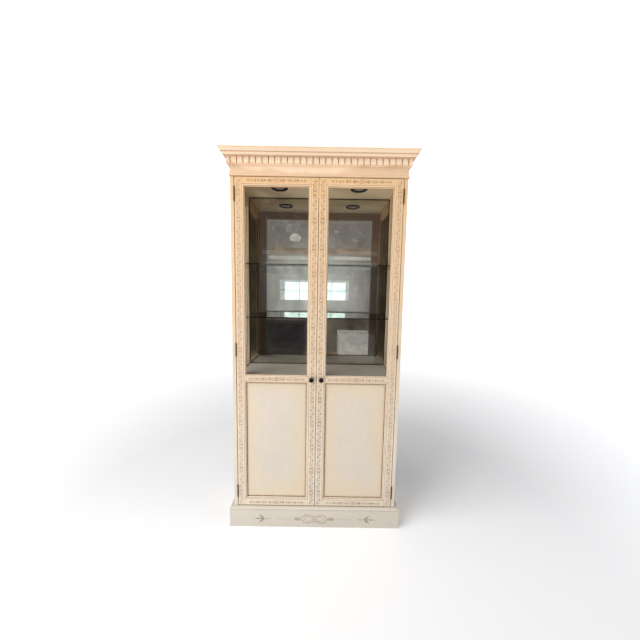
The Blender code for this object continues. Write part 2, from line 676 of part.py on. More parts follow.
# Hinges ------------------------------------------------------------------------------------------
def cylinder_bmesh(radius, z_low, z_high, segments):
    shape = bmesh.new()
    bmesh.ops.create_cone(shape, cap_ends=True, segments=segments, radius1=radius, radius2=radius,
                          depth=z_high - z_low)
    bmesh.ops.translate(shape, verts=shape.verts, vec=(0, 0, (z_low + z_high) / 2))
    return shape


def knuckle_spans(middle, first):
    """Heights of every second knuckle of one hinge, starting with the first or the second."""
    length = HINGE_LENGTH / HINGE_KNUCKLES
    bottom = middle - HINGE_LENGTH / 2
    return [(bottom + index * length + FIT_GAP / 2, bottom + (index + 1) * length - FIT_GAP / 2)
            for index in range(first, HINGE_KNUCKLES, 2)]


def place_on_pin(piece, side):
    piece.location = (side * PIN_X, PIN_Y, 0.0)
    bpy.context.view_layer.update()


def make_leaf(name, side, middle, toward_case, hinge):
    """One leaf of a butt hinge: its plate in the gap, and its knuckles round the pin."""
    towards = side if toward_case else -side
    plate_outer = HINGE_GAP / 2 - FIT_GAP
    plate_inner = plate_outer - HINGE_LEAF_THICKNESS
    spans = knuckle_spans(middle, 0 if toward_case else 1)
    plate_front = HINGE_BARREL_RADIUS + HINGE_PLATE_SETBACK
    x_low, x_high = sorted((towards * plate_inner, towards * plate_outer))
    plate = box_bmesh((x_low, plate_front, middle - HINGE_LENGTH / 2),
                      (x_high, plate_front + HINGE_LEAF_DEPTH, middle + HINGE_LENGTH / 2))
    leaf = add_object(name, plate, dark_bronze(), SMOOTH_ANGLE)
    place_on_pin(leaf, side)
    for index, (z_low, z_high) in enumerate(spans):
        tab = add_object(f"{name}_tab_guide_{index}",
                         box_bmesh((x_low, 0.0, z_low), (x_high, plate_front + HINGE_TAB_LAP, z_high)), None)
        barrel = add_object(f"{name}_barrel_guide_{index}",
                            cylinder_bmesh(HINGE_BARREL_RADIUS, z_low, z_high, BARREL_SEGMENTS), None)
        for helper in (tab, barrel):
            place_on_pin(helper, side)
            combine(leaf, helper, "UNION")
    if toward_case:
        add_pin(leaf, name, side, middle)
    else:
        bore_radius = (HINGE_PIN_RADIUS + HINGE_PIN_CLEARANCE) / math.cos(math.pi / PIN_SEGMENTS)
        bore = add_object(f"{name}_bore_cutter", cylinder_bmesh(
            bore_radius, middle - HINGE_LENGTH / 2, middle + HINGE_LENGTH / 2, PIN_SEGMENTS), None)
        place_on_pin(bore, side)
        combine(leaf, bore, "DIFFERENCE")
        hang(leaf, hinge)


def add_pin(leaf, name, side, middle):
    """The pin, with a rounded tip above and below the barrel."""
    tip_low = middle - HINGE_LENGTH / 2
    tip_high = middle + HINGE_LENGTH / 2
    shaft = cylinder_bmesh(HINGE_PIN_RADIUS, tip_low, tip_high, PIN_SEGMENTS)
    pin = add_object(f"{name}_pin_guide", shaft, None)
    place_on_pin(pin, side)
    combine(leaf, pin, "UNION")
    for end, height, out in (("low", tip_low, -1), ("high", tip_high, 1)):
        shape = bmesh.new()
        bmesh.ops.create_uvsphere(shape, u_segments=PIN_SEGMENTS, v_segments=PIN_SEGMENTS // 2,
                                  radius=HINGE_TIP_RADIUS)
        tip = add_object(f"{name}_tip_guide_{end}", shape, None)
        place_on_pin(tip, side)
        tip.location.z = height + out * (HINGE_TIP_HEIGHT - HINGE_TIP_RADIUS)
        combine(leaf, tip, "UNION")


def make_hinges(label, side, hinge):
    heights = {"bottom": DOOR_BOTTOM + HINGE_FROM_END,
               "middle": (DOOR_BOTTOM + DOOR_TOP) / 2,
               "top": DOOR_TOP - HINGE_FROM_END}
    for place, middle in heights.items():
        make_leaf(f"{label}_{place}_hinge_case_leaf", side, middle, True, hinge)
        make_leaf(f"{label}_{place}_hinge_door_leaf", side, middle, False, hinge)


def clear_scene():
    for existing in list(bpy.data.objects):
        bpy.data.objects.remove(existing, do_unlink=True)


def build():
    clear_scene()
    make_plinth()
    make_frieze()
    make_dentils()
    make_crown()
    make_top_board()
    for label, side in SIDES.items():
        make_side(label, side)
    make_inside()
    make_catch()
    for label, side in SIDES.items():
        make_door(label, side)


build()
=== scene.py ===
"""Looks for the painted curio cabinet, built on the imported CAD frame. Metres, +Z up, the front faces -Y."""

import math

import bpy
from mathutils import Matrix, Vector


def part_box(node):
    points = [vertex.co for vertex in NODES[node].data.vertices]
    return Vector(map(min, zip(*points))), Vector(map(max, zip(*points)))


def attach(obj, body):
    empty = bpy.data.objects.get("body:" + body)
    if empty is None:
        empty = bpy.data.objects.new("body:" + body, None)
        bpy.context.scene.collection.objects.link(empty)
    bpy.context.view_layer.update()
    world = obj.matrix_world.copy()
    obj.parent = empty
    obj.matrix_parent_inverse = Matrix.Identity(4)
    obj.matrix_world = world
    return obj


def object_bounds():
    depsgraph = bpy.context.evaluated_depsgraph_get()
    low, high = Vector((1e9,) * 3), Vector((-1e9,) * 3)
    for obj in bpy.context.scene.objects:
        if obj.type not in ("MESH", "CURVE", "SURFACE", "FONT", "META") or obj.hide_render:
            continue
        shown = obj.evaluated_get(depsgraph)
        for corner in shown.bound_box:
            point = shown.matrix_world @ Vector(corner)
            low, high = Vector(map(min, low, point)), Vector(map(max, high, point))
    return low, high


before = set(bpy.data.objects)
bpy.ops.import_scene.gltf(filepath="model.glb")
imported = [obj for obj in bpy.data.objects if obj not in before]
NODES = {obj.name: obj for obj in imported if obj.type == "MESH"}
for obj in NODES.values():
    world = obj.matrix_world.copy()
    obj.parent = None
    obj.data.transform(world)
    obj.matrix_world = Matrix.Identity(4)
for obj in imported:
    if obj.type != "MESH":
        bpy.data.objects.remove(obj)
cad_low, cad_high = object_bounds()
SCENE = bpy.context.scene

# Places read from the frame -------------------------------
DOORS = {"left": -1, "right": 1}
FRONT, DOOR_BACK = (corner.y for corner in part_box("right_door_hinge_stile"))
DOOR_LOW, DOOR_HIGH = (corner.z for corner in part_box("right_door_hinge_stile"))
DOOR_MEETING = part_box("right_door_meeting_stile")[0].x
DOOR_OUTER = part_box("right_door_hinge_stile")[1].x
STILE_WIDTH = 0.054  # a door stile with its moulded edge
PLINTH_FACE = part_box("plinth_front")[0].y
INNER_X, OUTER_X = (corner.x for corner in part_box("right_side_front_stile"))
CROWN_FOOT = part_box("crown_front")[0].z
CROWN_STEP = CROWN_FOOT + 0.0155  # the square step between the two bands of the crown
CAD_TOP = cad_high.z


# Camera ---------------------------------------------------
CAMERA_AT = Vector((0.0149, FRONT - 1.6229, 1.3576))
CAMERA_YAW = 0.0012
CAMERA_PITCH = 0.1004
CAMERA_ROLL = 0.0157
CAMERA_LENS = 16.27
CAMERA_SHIFT_Y = 0.01255


def make_camera():
    """The camera stands in front of the cabinet at eye height, nearly level."""
    data = bpy.data.cameras.new("camera")
    data.lens = CAMERA_LENS
    data.sensor_width = 36.0
    data.shift_y = CAMERA_SHIFT_Y
    data.clip_start = 0.05
    data.clip_end = 100.0
    forward = Vector((
        math.sin(CAMERA_YAW) * math.cos(CAMERA_PITCH),
        math.cos(CAMERA_YAW) * math.cos(CAMERA_PITCH),
        -math.sin(CAMERA_PITCH),
    ))
    level_right = Vector((math.cos(CAMERA_YAW), -math.sin(CAMERA_YAW), 0.0))
    level_down = forward.cross(level_right)
    right = math.cos(CAMERA_ROLL) * level_right - math.sin(CAMERA_ROLL) * level_down
    down = math.sin(CAMERA_ROLL) * level_right + math.cos(CAMERA_ROLL) * level_down
    turn = Matrix((right, -down, -forward)).transposed()
    camera = bpy.data.objects.new("camera", data)
    camera.matrix_world = Matrix.Translation(CAMERA_AT) @ turn.to_4x4()
    SCENE.collection.objects.link(camera)
    SCENE.camera = camera


make_camera()
SCENE.view_settings.view_transform = "Standard"


# Shader building ------------------------------------------
class Graph:
    """A material's node tree with short calls for the nodes used here."""

    def __init__(self, name):
        self.material = bpy.data.materials.new(name)
        self.material.use_nodes = True
        self.tree = self.material.node_tree
        self.tree.nodes.clear()
        self.output = self.tree.nodes.new("ShaderNodeOutputMaterial")
        self.place = self.tree.nodes.new("ShaderNodeTexCoord").outputs["Object"]

    def node(self, kind, inputs=None, **settings):
        made = self.tree.nodes.new(kind)
        for key, value in settings.items():
            setattr(made, key, value)
        for key, value in (inputs or {}).items():
            self.put(made.inputs[key], value)
        return made

    def put(self, socket, value):
        if isinstance(value, bpy.types.NodeSocket):
            self.tree.links.new(value, socket)
        elif isinstance(value, tuple) and len(value) == 3 and socket.type == "RGBA":
            socket.default_value = (*value, 1.0)
        else:
            socket.default_value = value

    def scaled(self, scale):
        return self.node("ShaderNodeMapping", {"Vector": self.place, "Scale": scale}).outputs[0]

    def noise(self, scale, detail=3.0, rough=0.5, place=None, distortion=0.0):
        inputs = {"Vector": place or self.place, "Scale": scale, "Detail": detail, "Roughness": rough,
                  "Distortion": distortion}
        return self.node("ShaderNodeTexNoise", inputs).outputs["Fac"]

    def fit(self, value, low, high, to_low=0.0, to_high=1.0):
        inputs = {"Value": value, "From Min": low, "From Max": high, "To Min": to_low, "To Max": to_high}
        return self.node("ShaderNodeMapRange", inputs, clamp=True).outputs["Result"]

    def math(self, operation, a, b=0.0):
        made = self.node("ShaderNodeMath", operation=operation)
        self.put(made.inputs[0], a)
        self.put(made.inputs[1], b)
        return made.outputs[0]

    def times(self, a, b):
        return self.math("MULTIPLY", a, b)

    def highest(self, first, *others):
        for other in others:
            first = self.math("MAXIMUM", first, other)
        return first

    def mix(self, factor, a, b):
        made = self.node("ShaderNodeMix", data_type="RGBA", clamp_factor=True)
        self.put(made.inputs[0], factor)
        self.put(made.inputs[6], a)
        self.put(made.inputs[7], b)
        return made.outputs[2]

    def split(self, vector):
        return self.node("ShaderNodeSeparateXYZ", {"Vector": vector}).outputs

    def bump(self, height, strength, distance):
        return self.node(
            "ShaderNodeBump", {"Height": height, "Strength": strength, "Distance": distance}
        ).outputs[0]

    def near(self, distance, inside=False, samples=3):
        """1 in the open and lower close to other surfaces, or close to an outer edge if inside."""
        return self.node(
            "ShaderNodeAmbientOcclusion",
            {"Distance": distance},
            inside=inside,
            only_local=inside,
            samples=samples,
        ).outputs["AO"]

    def band(self, value, low, high, soft):
        """1 between low and high, fading to 0 over soft on both sides."""
        rise = self.fit(value, low - soft, low)
        fall = self.fit(value, high, high + soft, 1.0, 0.0)
        return self.times(rise, fall)

    def rim(self):
        """How far a place is from the ends of its object's box, across and upwards, as shares of the box."""
        x, _, z = self.split(self.node("ShaderNodeTexCoord").outputs["Generated"])
        return [self.math("MINIMUM", way, self.math("SUBTRACT", 1.0, way)) for way in (x, z)]

    def behind(self):
        """High on faces that look backwards, into the case: a brown stain on the unpainted backs, deepened as
        painted shade for the dim light there.
        """
        facing = self.split(self.node("ShaderNodeTexCoord").outputs["Normal"])[1]
        return self.fit(facing, 0.5, 0.9, 0.0, BACK_STAIN_AND_SHADE_SHARE)

    def in_reflection(self):
        """1 for what is seen in the mirror or through two panes, 0 for what is seen directly."""
        path = self.node("ShaderNodeLightPath").outputs
        mirrored = self.math("GREATER_THAN", path["Glossy Depth"], 0.5)
        through_two = self.math("GREATER_THAN", path["Transmission Depth"], 3.5)
        return self.highest(mirrored, through_two)

    def principled(self, **inputs):
        made = self.node("ShaderNodeBsdfPrincipled")
        for key, value in inputs.items():
            self.put(made.inputs[key.replace("_", " ")], value)
        self.tree.links.new(made.outputs[0], self.output.inputs["Surface"])
        return made

    def finished(self, base, rough, relief, strength, distance, **more):
        """Ends the material with its colour, its roughness and a relief."""
        bump = self.bump(relief, strength, distance)
        self.principled(Base_Color=base, Roughness=rough, Normal=bump, **more)
        return self.material


def linear(red, green, blue):
    """A linear colour from the usual 0 to 255 values."""
    def channel(value):
        value /= 255.0
        return value / 12.92 if value <= 0.04045 else ((value + 0.055) / 1.055) ** 2.4
    return tuple(channel(v) for v in (red, green, blue))


# Paint ----------------------------------------------------
GRAIN = {  # brush strokes: fine across the grain and long with it
    "upright": (46.0, 46.0, 1.6),
    "across": (1.6, 46.0, 46.0),
    "deep": (46.0, 1.6, 46.0),
}
GLAZE_AND_SHADE = linear(124, 82, 46)
HEAD_GLAZE_AND_SHADE = linear(166, 122, 88)
PLINTH_GLAZE_AND_SHADE = linear(140, 118, 94)
BACK_STAIN_AND_SHADE = linear(128, 92, 56)
# The pale cream of the painted highlights
HIGHLIGHT_CREAM = linear(252, 232, 204)
# Warmer towards the top: painted warm light falling from above on the paint's own cream
FRAME_STOPS = [
    (0.15, (231, 219, 200)),
    (0.60, (231, 217, 196)),
    (1.05, (232, 210, 181)),
    (1.55, (233, 203, 168)),
    (1.85, (236, 202, 160)),
    (2.00, (238, 198, 151)),
]
# Paler from the teeth upwards: painted light on the crown and teeth, whose faces turn down, away from the
# lamps above
HEAD_STOPS = [(1.0, (233, 200, 165)), (2.05, (236, 203, 168)), (2.068, (255, 227, 196))]
PLINTH_STOPS = [(0.0, (213, 205, 193)), (0.118, (219, 210, 196))]
SIDE_PANEL_STOPS = [(0.0, (226, 214, 196)), (0.92, (229, 212, 188))]

# Parts of the doors' moulded edges, from and to a depth behind the doors' face
BEAD_CREST = (0.0007, 0.0015)
EDGE_STEP = (0.0019, 0.0031)
EDGE_QUIRK = (0.0036, 0.0046)
EDGE_FOOT = (0.0088, 0.0120)
DOOR_SIDE_MARGIN = 0.006
DOOR_END_MARGIN = 0.008
MARGIN_FADE = 0.001

GLAZE_AND_SHADE_REACH = 0.006  # how far the glaze and the painted shade spread out of a corner
WEAR_REACH = 0.0035  # how far rubbing reaches in from an edge
CLOUD_SHARE = 0.15
WEAR_SHARE = 0.26
STROKE_SHARE = 0.08
BACK_STAIN_AND_SHADE_SHARE = 0.72


def by_height(g, stops):
    """A colour that changes with height: stops are (height, colour of 0 to 255), lowest first."""
    height = g.split(g.place)[2]
    drift = g.fit(g.noise(2.3, 3.0, 0.5), 0.3, 0.7, -0.06, 0.06)
    share = g.fit(g.math("ADD", height, drift), 0.0, CAD_TOP)
    ramp = g.node("ShaderNodeValToRGB", {"Fac": share})
    elements = ramp.color_ramp.elements
    while len(elements) < len(stops):
        elements.new(0.5)
    for element, (z, colour) in zip(elements, stops):
        element.position = z / CAD_TOP
        element.color = (*linear(*colour), 1.0)
    return ramp.outputs["Color"]


def in_door(g, x, z):
    """1 within the outer edges of a door, where its moulded edges lie."""
    inner, outer = DOOR_MEETING + DOOR_SIDE_MARGIN, DOOR_OUTER - DOOR_SIDE_MARGIN
    across = g.band(g.math("ABSOLUTE", x), inner, outer, MARGIN_FADE)
    return g.times(across, g.band(z, DOOR_LOW + DOOR_END_MARGIN, DOOR_HIGH - DOOR_END_MARGIN, MARGIN_FADE))


def moulding_glaze_and_shade(g):
    """Dark bands in the step, quirk and foot of the door mouldings, by depth behind the door's face: glaze
    and painted shade.
    """
    x, y, z = g.split(g.place)
    depth = g.math("SUBTRACT", y, FRONT)
    step = g.times(g.band(depth, *EDGE_STEP, 0.0004), 0.75)
    quirk = g.times(g.band(depth, *EDGE_QUIRK, 0.0005), 0.40)
    foot = g.band(depth, *EDGE_FOOT, 0.0008)
    return g.times(g.highest(step, quirk, foot), in_door(g, x, z))


def bead_highlight(g):
    """The raised bead of the door mouldings, made paler than the flats: a painted highlight."""
    x, y, z = g.split(g.place)
    highlight = g.band(g.math("SUBTRACT", y, FRONT), *BEAD_CREST, 0.0003)
    return g.times(g.times(highlight, in_door(g, x, z)), 0.60)


def inner_face(g):
    """The face of a rear post that looks into the display, made paler: painted light where the post catches
    the lamps.
    """
    return g.fit(g.math("ABSOLUTE", g.split(g.place)[0]), INNER_X + 0.0004, INNER_X + 0.0012, 0.85, 0.0)


def head_glaze_and_shade(g):
    """Dark bands along the quirks of the crown and under the teeth, by height: painted shade, with some
    glaze.
    """
    z = g.split(g.place)[2]
    crown_step = g.times(g.band(z, CROWN_STEP - 0.0012, CROWN_STEP + 0.0026, 0.0008), 0.55)
    crown_foot = g.times(g.band(z, CROWN_FOOT - 0.0012, CROWN_FOOT + 0.0030, 0.0008), 0.60)
    crown_lip = g.times(g.band(z, CAD_TOP - 0.0062, CAD_TOP - 0.0050, 0.0005), 0.35)
    return g.highest(crown_step, crown_foot, crown_lip)


def brush_strokes(g, grain):
    """Fine streaks of the brush along the grain."""
    return g.noise(9.0, 6.0, 0.7, place=g.scaled(GRAIN[grain]))


def glaze_and_shade_breakup(g):
    """Fine patches in which more or less of the glaze and the painted shade lies."""
    return g.fit(g.noise(60.0, 4.0, 0.65), 0.25, 0.75, 0.6, 1.15)


def painted(name, stops, glaze_and_shade, grain, lines=None, highlight=None, glaze_and_shade_share=0.9):
    """Brushed satin paint: close tones in clouds and brush strokes, glaze with painted shade in corners,
    rubbed edges.
    """
    g = Graph(name)
    clouds_wide = g.fit(g.noise(3.1, 4.0, 0.6, distortion=0.4), 0.32, 0.68)
    clouds_fine = g.fit(g.noise(17.0, 4.0, 0.62), 0.30, 0.72)
    strokes = brush_strokes(g, grain)
    tone = g.math("ADD", g.times(clouds_wide, 0.62), g.times(clouds_fine, 0.38))
    base = by_height(g, stops)
    base = g.mix(g.times(tone, CLOUD_SHARE), base, glaze_and_shade)
    base = g.mix(g.fit(strokes, 0.48, 0.78, 0.0, STROKE_SHARE), base, glaze_and_shade)
    # Painted shade with some glaze: the paint darkens where other surfaces are near, in corners and recesses
    corner = g.fit(g.near(GLAZE_AND_SHADE_REACH), 0.72, 0.25, 0.0, glaze_and_shade_share)
    if lines:
        corner = g.highest(corner, lines(g))
    if highlight:
        # Painted highlight: the given mask turns the paint paler
        base = g.mix(highlight(g), base, HIGHLIGHT_CREAM)
    base = g.mix(g.times(corner, glaze_and_shade_breakup(g)), base, glaze_and_shade)
    edge = g.fit(g.near(WEAR_REACH, inside=True, samples=2), 0.62, 0.25)
    rubbed = g.times(edge, g.fit(g.noise(34.0, 3.0, 0.6), 0.42, 0.66, 0.0, WEAR_SHARE))
    base = g.mix(rubbed, base, glaze_and_shade)
    # Painted shade with a stain on the faces that look into the case
    base = g.mix(g.behind(), base, BACK_STAIN_AND_SHADE)
    rough = g.fit(g.noise(26.0, 4.0, 0.6), 0.2, 0.8, 0.36, 0.52)
    height = g.math("ADD", g.times(strokes, 0.7), g.times(clouds_fine, 0.3))
    return g.finished(base, rough, height, 0.14, 0.0005)


CREAM = {
    grain: painted("antique_cream_" + grain, FRAME_STOPS, GLAZE_AND_SHADE, grain, moulding_glaze_and_shade, bead_highlight)
    for grain in GRAIN
}
REAR_POST = painted("rear_post_cream", FRAME_STOPS, GLAZE_AND_SHADE, "upright", highlight=inner_face)
HEAD = {
    grain: painted("head_cream_" + grain, HEAD_STOPS, HEAD_GLAZE_AND_SHADE, grain, head_glaze_and_shade, glaze_and_shade_share=0.5)
    for grain in ("across", "deep")
}
PLINTH = {
    grain: painted("plinth_cream_" + grain, PLINTH_STOPS, PLINTH_GLAZE_AND_SHADE, grain, glaze_and_shade_share=0.75)
    for grain in ("across", "deep")
}
SIDE_PANEL = painted("side_panel_cream", SIDE_PANEL_STOPS, GLAZE_AND_SHADE, "upright")


def panel_paint():
    """The cupboard panels: cloudy pale paint, warmer towards the edges, with glaze and painted shade along
    the moulding and in the corners.
    """
    g = Graph("panel_cream")
    from_side, from_end = g.rim()
    drift = g.fit(g.noise(5.0, 3.0, 0.5), 0.3, 0.7, -0.10, 0.10)
    border = g.math("MINIMUM", from_side, g.times(from_end, 1.8))
    warm = g.fit(g.math("ADD", border, drift), 0.0, 0.34, 1.0, 0.0)
    clouds_wide = g.fit(g.noise(6.5, 4.0, 0.55, distortion=0.6), 0.3, 0.7)
    clouds_fine = g.fit(g.noise(30.0, 4.0, 0.6), 0.3, 0.7)
    base = g.mix(clouds_wide, linear(222, 210, 195), linear(214, 205, 193))
    base = g.mix(warm, base, linear(226, 208, 178))
    base = g.mix(g.times(clouds_fine, 0.14), base, linear(205, 184, 156))
    strokes = brush_strokes(g, "upright")
    base = g.mix(g.fit(strokes, 0.5, 0.78, 0.0, STROKE_SHARE), base, GLAZE_AND_SHADE)
    low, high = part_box("left_door_panel")
    in_rebate = high.x + DOOR_MEETING + STILE_WIDTH
    side_way = g.times(from_side, high.x - low.x)
    end_way = g.times(from_end, high.z - low.z)
    way_in = g.math("SUBTRACT", g.math("MINIMUM", side_way, end_way), in_rebate)
    # A dark line and a softer halo just inside the moulding, and darkening where other surfaces are near:
    # glaze and painted shade
    line = g.fit(way_in, 0.0022, 0.0042, 0.95, 0.0)
    halo = g.fit(way_in, 0.003, 0.012, 0.28, 0.0)
    corner = g.highest(g.fit(g.near(GLAZE_AND_SHADE_REACH), 0.70, 0.25, 0.0, 0.9), line, halo)
    base = g.mix(g.times(corner, glaze_and_shade_breakup(g)), base, GLAZE_AND_SHADE)
    base = g.mix(g.behind(), base, BACK_STAIN_AND_SHADE)
    rough = g.fit(g.noise(26.0, 4.0, 0.6), 0.2, 0.8, 0.38, 0.52)
    return g.finished(base, rough, strokes, 0.12, 0.0005)


def interior_paint(name, light, dark):
    """Thinner, duller paint inside the case, with brush marks and painted shade in the corners."""
    g = Graph(name)
    clouds = g.fit(g.noise(5.0, 4.0, 0.6), 0.3, 0.7)
    base = g.mix(clouds, light, dark)
    strokes = g.noise(8.0, 6.0, 0.7, place=g.scaled(GRAIN["across"]))
    base = g.mix(g.fit(strokes, 0.45, 0.8, 0.0, 0.25), base, linear(150, 122, 88))
    # Painted shade: the paint turns dark brown where other surfaces are near
    corner = g.fit(g.near(0.014), 0.7, 0.25, 0.0, 0.6)
    base = g.mix(corner, base, linear(96, 72, 46))
    rough = g.fit(g.noise(20.0), 0.2, 0.8, 0.55, 0.7)
    return g.finished(base, rough, strokes, 0.2, 0.0005)


def hardboard():
    """Unfinished brown hardboard with its pressed fibres and a few darker stains."""
    g = Graph("back_board")
    fibres = g.noise(420.0, 5.0, 0.75)
    stains = g.fit(g.noise(7.0, 4.0, 0.6), 0.3, 0.7)
    base = g.mix(g.fit(fibres, 0.3, 0.7), linear(150, 112, 76), linear(112, 80, 52))
    base = g.mix(g.times(stains, 0.16), base, linear(92, 64, 40))
    rough = g.fit(fibres, 0.3, 0.7, 0.7, 0.88)
    return g.finished(base, rough, fibres, 0.3, 0.0004)


def flat_pane(name, tint, edge_tint, axis):
    """Float glass whose broad faces look along one axis; its narrow edges are a deeper green."""
    g = Graph(name)
    normal = g.split(g.node("ShaderNodeNewGeometry").outputs["True Normal"])
    edge = g.fit(g.math("ABSOLUTE", normal[axis]), 0.9, 0.7)
    film = g.fit(g.noise(9.0, 5.0, 0.6), 0.45, 0.8, 0.0, 0.035)
    colour = g.mix(edge, tint, edge_tint)
    g.principled(Base_Color=colour, Transmission_Weight=1.0, IOR=1.5, Roughness=film)
    return g.material


def silvering():
    """The mirror: silver behind glass, a little cloudy and darker at its rim."""
    g = Graph("mirror_silver")
    rim = g.math("MINIMUM", *g.rim())
    rim = g.math("ADD", rim, g.fit(g.noise(24.0, 5.0, 0.7), 0.3, 0.7, -0.006, 0.006))
    clouds = g.fit(g.noise(4.0, 3.0, 0.5), 0.3, 0.7)
    base = g.mix(clouds, linear(196, 195, 190), linear(184, 184, 179))
    base = g.mix(g.fit(rim, 0.0, 0.012, 0.7, 0.0), base, linear(120, 112, 96))
    rough = g.fit(g.noise(11.0, 4.0, 0.6), 0.4, 0.8, 0.012, 0.05)
    wave = g.noise(2.6, 1.0, 0.3)
    return g.finished(base, rough, wave, 0.04, 0.02, Metallic=1.0)


def lacquer():
    """Black lacquer on the knobs, worn brown where fingers touch."""
    g = Graph("black_knob")
    clouds = g.noise(90.0, 4.0, 0.6)
    base = g.mix(g.fit(clouds, 0.3, 0.7), linear(14, 12, 11), linear(34, 28, 24))
    worn = g.fit(g.near(0.003, inside=True, samples=2), 0.5, 0.2, 0.0, 0.35)
    base = g.mix(worn, base, linear(92, 70, 48))
    rough = g.fit(g.noise(160.0, 3.0, 0.6), 0.3, 0.7, 0.14, 0.30)
    return g.finished(base, rough, clouds, 0.05, 0.0003, Coat_Weight=0.5, Coat_Roughness=0.08)


def aged_metal(name, body, bright, rough_low, rough_high):
    """Plated metal gone dull, brighter where hands and edges have rubbed it."""
    g = Graph(name)
    clouds = g.fit(g.noise(120.0, 4.0, 0.65), 0.35, 0.7)
    brushed = g.noise(30.0, 5.0, 0.7, place=g.scaled((20.0, 20.0, 1.5)))
    edge = g.fit(g.near(0.0015, inside=True, samples=2), 0.6, 0.25)
    base = g.mix(clouds, body, tuple(0.5 * c for c in body))
    base = g.mix(g.times(edge, 0.5), base, bright)
    rough = g.fit(clouds, 0.0, 1.0, rough_low, rough_high)
    return g.finished(base, rough, brushed, 0.12, 0.0002, Metallic=0.9)


def moulded_plastic(name, colour):
    """Satin plastic with a fine speckle."""
    g = Graph(name)
    speckle = g.noise(700.0, 3.0, 0.6)
    base = g.mix(g.fit(speckle, 0.3, 0.7, 0.0, 0.35), colour, tuple(0.6 * c for c in colour))
    rough = g.fit(speckle, 0.3, 0.7, 0.44, 0.56)
    return g.finished(base, rough, speckle, 0.15, 0.0002)


def stencil_ink(name, stops, ink):
    """Thin worn stencil colour: it lets the paint's own tone through where it has rubbed away."""
    g = Graph(name)
    base = by_height(g, stops)
    patches = g.fit(g.noise(22.0, 4.0, 0.6), 0.34, 0.66, 0.6, 1.0)
    speck = g.fit(g.noise(400.0, 3.0, 0.6), 0.35, 0.65, 0.75, 1.1)
    base = g.mix(g.times(patches, speck), base, ink)
    rough = g.fit(patches, 0.3, 0.9, 0.42, 0.55)
    return g.finished(base, rough, speck, 0.1, 0.0002)


PANEL = panel_paint()
INTERIOR = interior_paint("interior_paint", linear(192, 184, 172), linear(176, 168, 156))
# Painted light: the ceiling gets a paler, warmer copy of the interior paint for the light it catches from
# below
LIT_CEILING = interior_paint("lit_ceiling_paint", linear(246, 220, 184), linear(236, 208, 170))
HARDBOARD = hardboard()
DOOR_GLASS = flat_pane("door_glass", linear(244, 248, 245), linear(70, 120, 96), 1)
SIDE_GLASS = flat_pane("side_glass", linear(240, 246, 242), linear(70, 120, 96), 0)
SHELF_GLASS = flat_pane("shelf_glass", linear(236, 246, 241), linear(28, 66, 52), 2)
MIRROR = silvering()
KNOB = lacquer()
BRONZE = aged_metal("dark_bronze", linear(112, 82, 56), linear(176, 140, 100), 0.32, 0.55)
LIGHT_METAL = aged_metal("light_metal", linear(60, 52, 44), linear(140, 128, 112), 0.3, 0.5)
STEEL = aged_metal("zinc_steel", linear(150, 148, 142), linear(205, 203, 198), 0.25, 0.42)
CATCH = moulded_plastic("catch_plastic", linear(84, 56, 34))
CHANNEL = moulded_plastic("mirror_channel", linear(44, 32, 24))
STENCIL = stencil_ink("stencil_brown", FRAME_STOPS, linear(142, 100, 66))
STENCIL_SOFT = stencil_ink("stencil_soft", FRAME_STOPS, linear(178, 138, 104))
STENCIL_GREY = stencil_ink("stencil_grey", PLINTH_STOPS, linear(116, 94, 74))


# Materials of the CAD nodes -------------------------------
HEAD_NODES = ("crown", "dentil", "frieze", "top_board")
CHOSEN = {  # by the material's name in the CAD
    "interior_paint": INTERIOR,
    "back_board": HARDBOARD,
    "mirror_silver": MIRROR,
    "black_knob": KNOB,
    "dark_bronze": BRONZE,
    "light_metal": LIGHT_METAL,
    "catch_plastic": CATCH,
    "panel_cream": PANEL,
}


def grain_of(node):
    """The grain runs along a board's longest side."""
    low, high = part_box(node)
    size = high - low
    longest = max(range(3), key=lambda i: size[i])
    return ("across", "deep", "upright")[longest]


def finish_of(name, kind):
    """The finished material of a CAD node, from its name and its material in the CAD."""
    if name == "ceiling_board":
        return LIT_CEILING
    if name.endswith("lower_board"):
        return SIDE_PANEL
    if kind == "antique_cream" and name.startswith(HEAD_NODES):
        return HEAD["deep" if name.endswith(("left", "right")) else "across"]
    if name.endswith("rear_post"):
        return REAR_POST
    if kind == "antique_cream":
        return CREAM[grain_of(name)]
    if kind == "plinth_cream":
        return PLINTH[grain_of(name)]
    if kind == "clear_glass":
        return SHELF_GLASS if "shelf" in name else SIDE_GLASS if "side" in name else DOOR_GLASS
    return CHOSEN[kind]


def paint_nodes():
    for name, node in NODES.items():
        for slot in node.material_slots:
            slot.material = finish_of(name, slot.material.name.split(".")[0])
        if "glass" in name:
            node.visible_shadow = False


paint_nodes()


# Building pieces ------------------------------------------
def new_object(name, verts, faces, material, smooth=False):
    mesh = bpy.data.meshes.new(name)
    mesh.from_pydata([tuple(v) for v in verts], [], faces)
    mesh.validate()
    mesh.update()
    mesh.materials.append(material)
    for polygon in mesh.polygons:
        polygon.use_smooth = smooth
    obj = bpy.data.objects.new(name, mesh)
    SCENE.collection.objects.link(obj)
    return obj


def add_piece(name, shape, body, material, smooth=False):
    """A visible piece that rides on a body, with the given material."""
    piece = new_object(name, shape.verts, shape.faces, material, smooth)
    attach(piece, body)
    return piece


def hide_from(obj, *rays):
    """Keeps an object or a light from being seen by some kinds of rays."""
    for ray in rays:
        setattr(obj, "visible_" + ray, False)


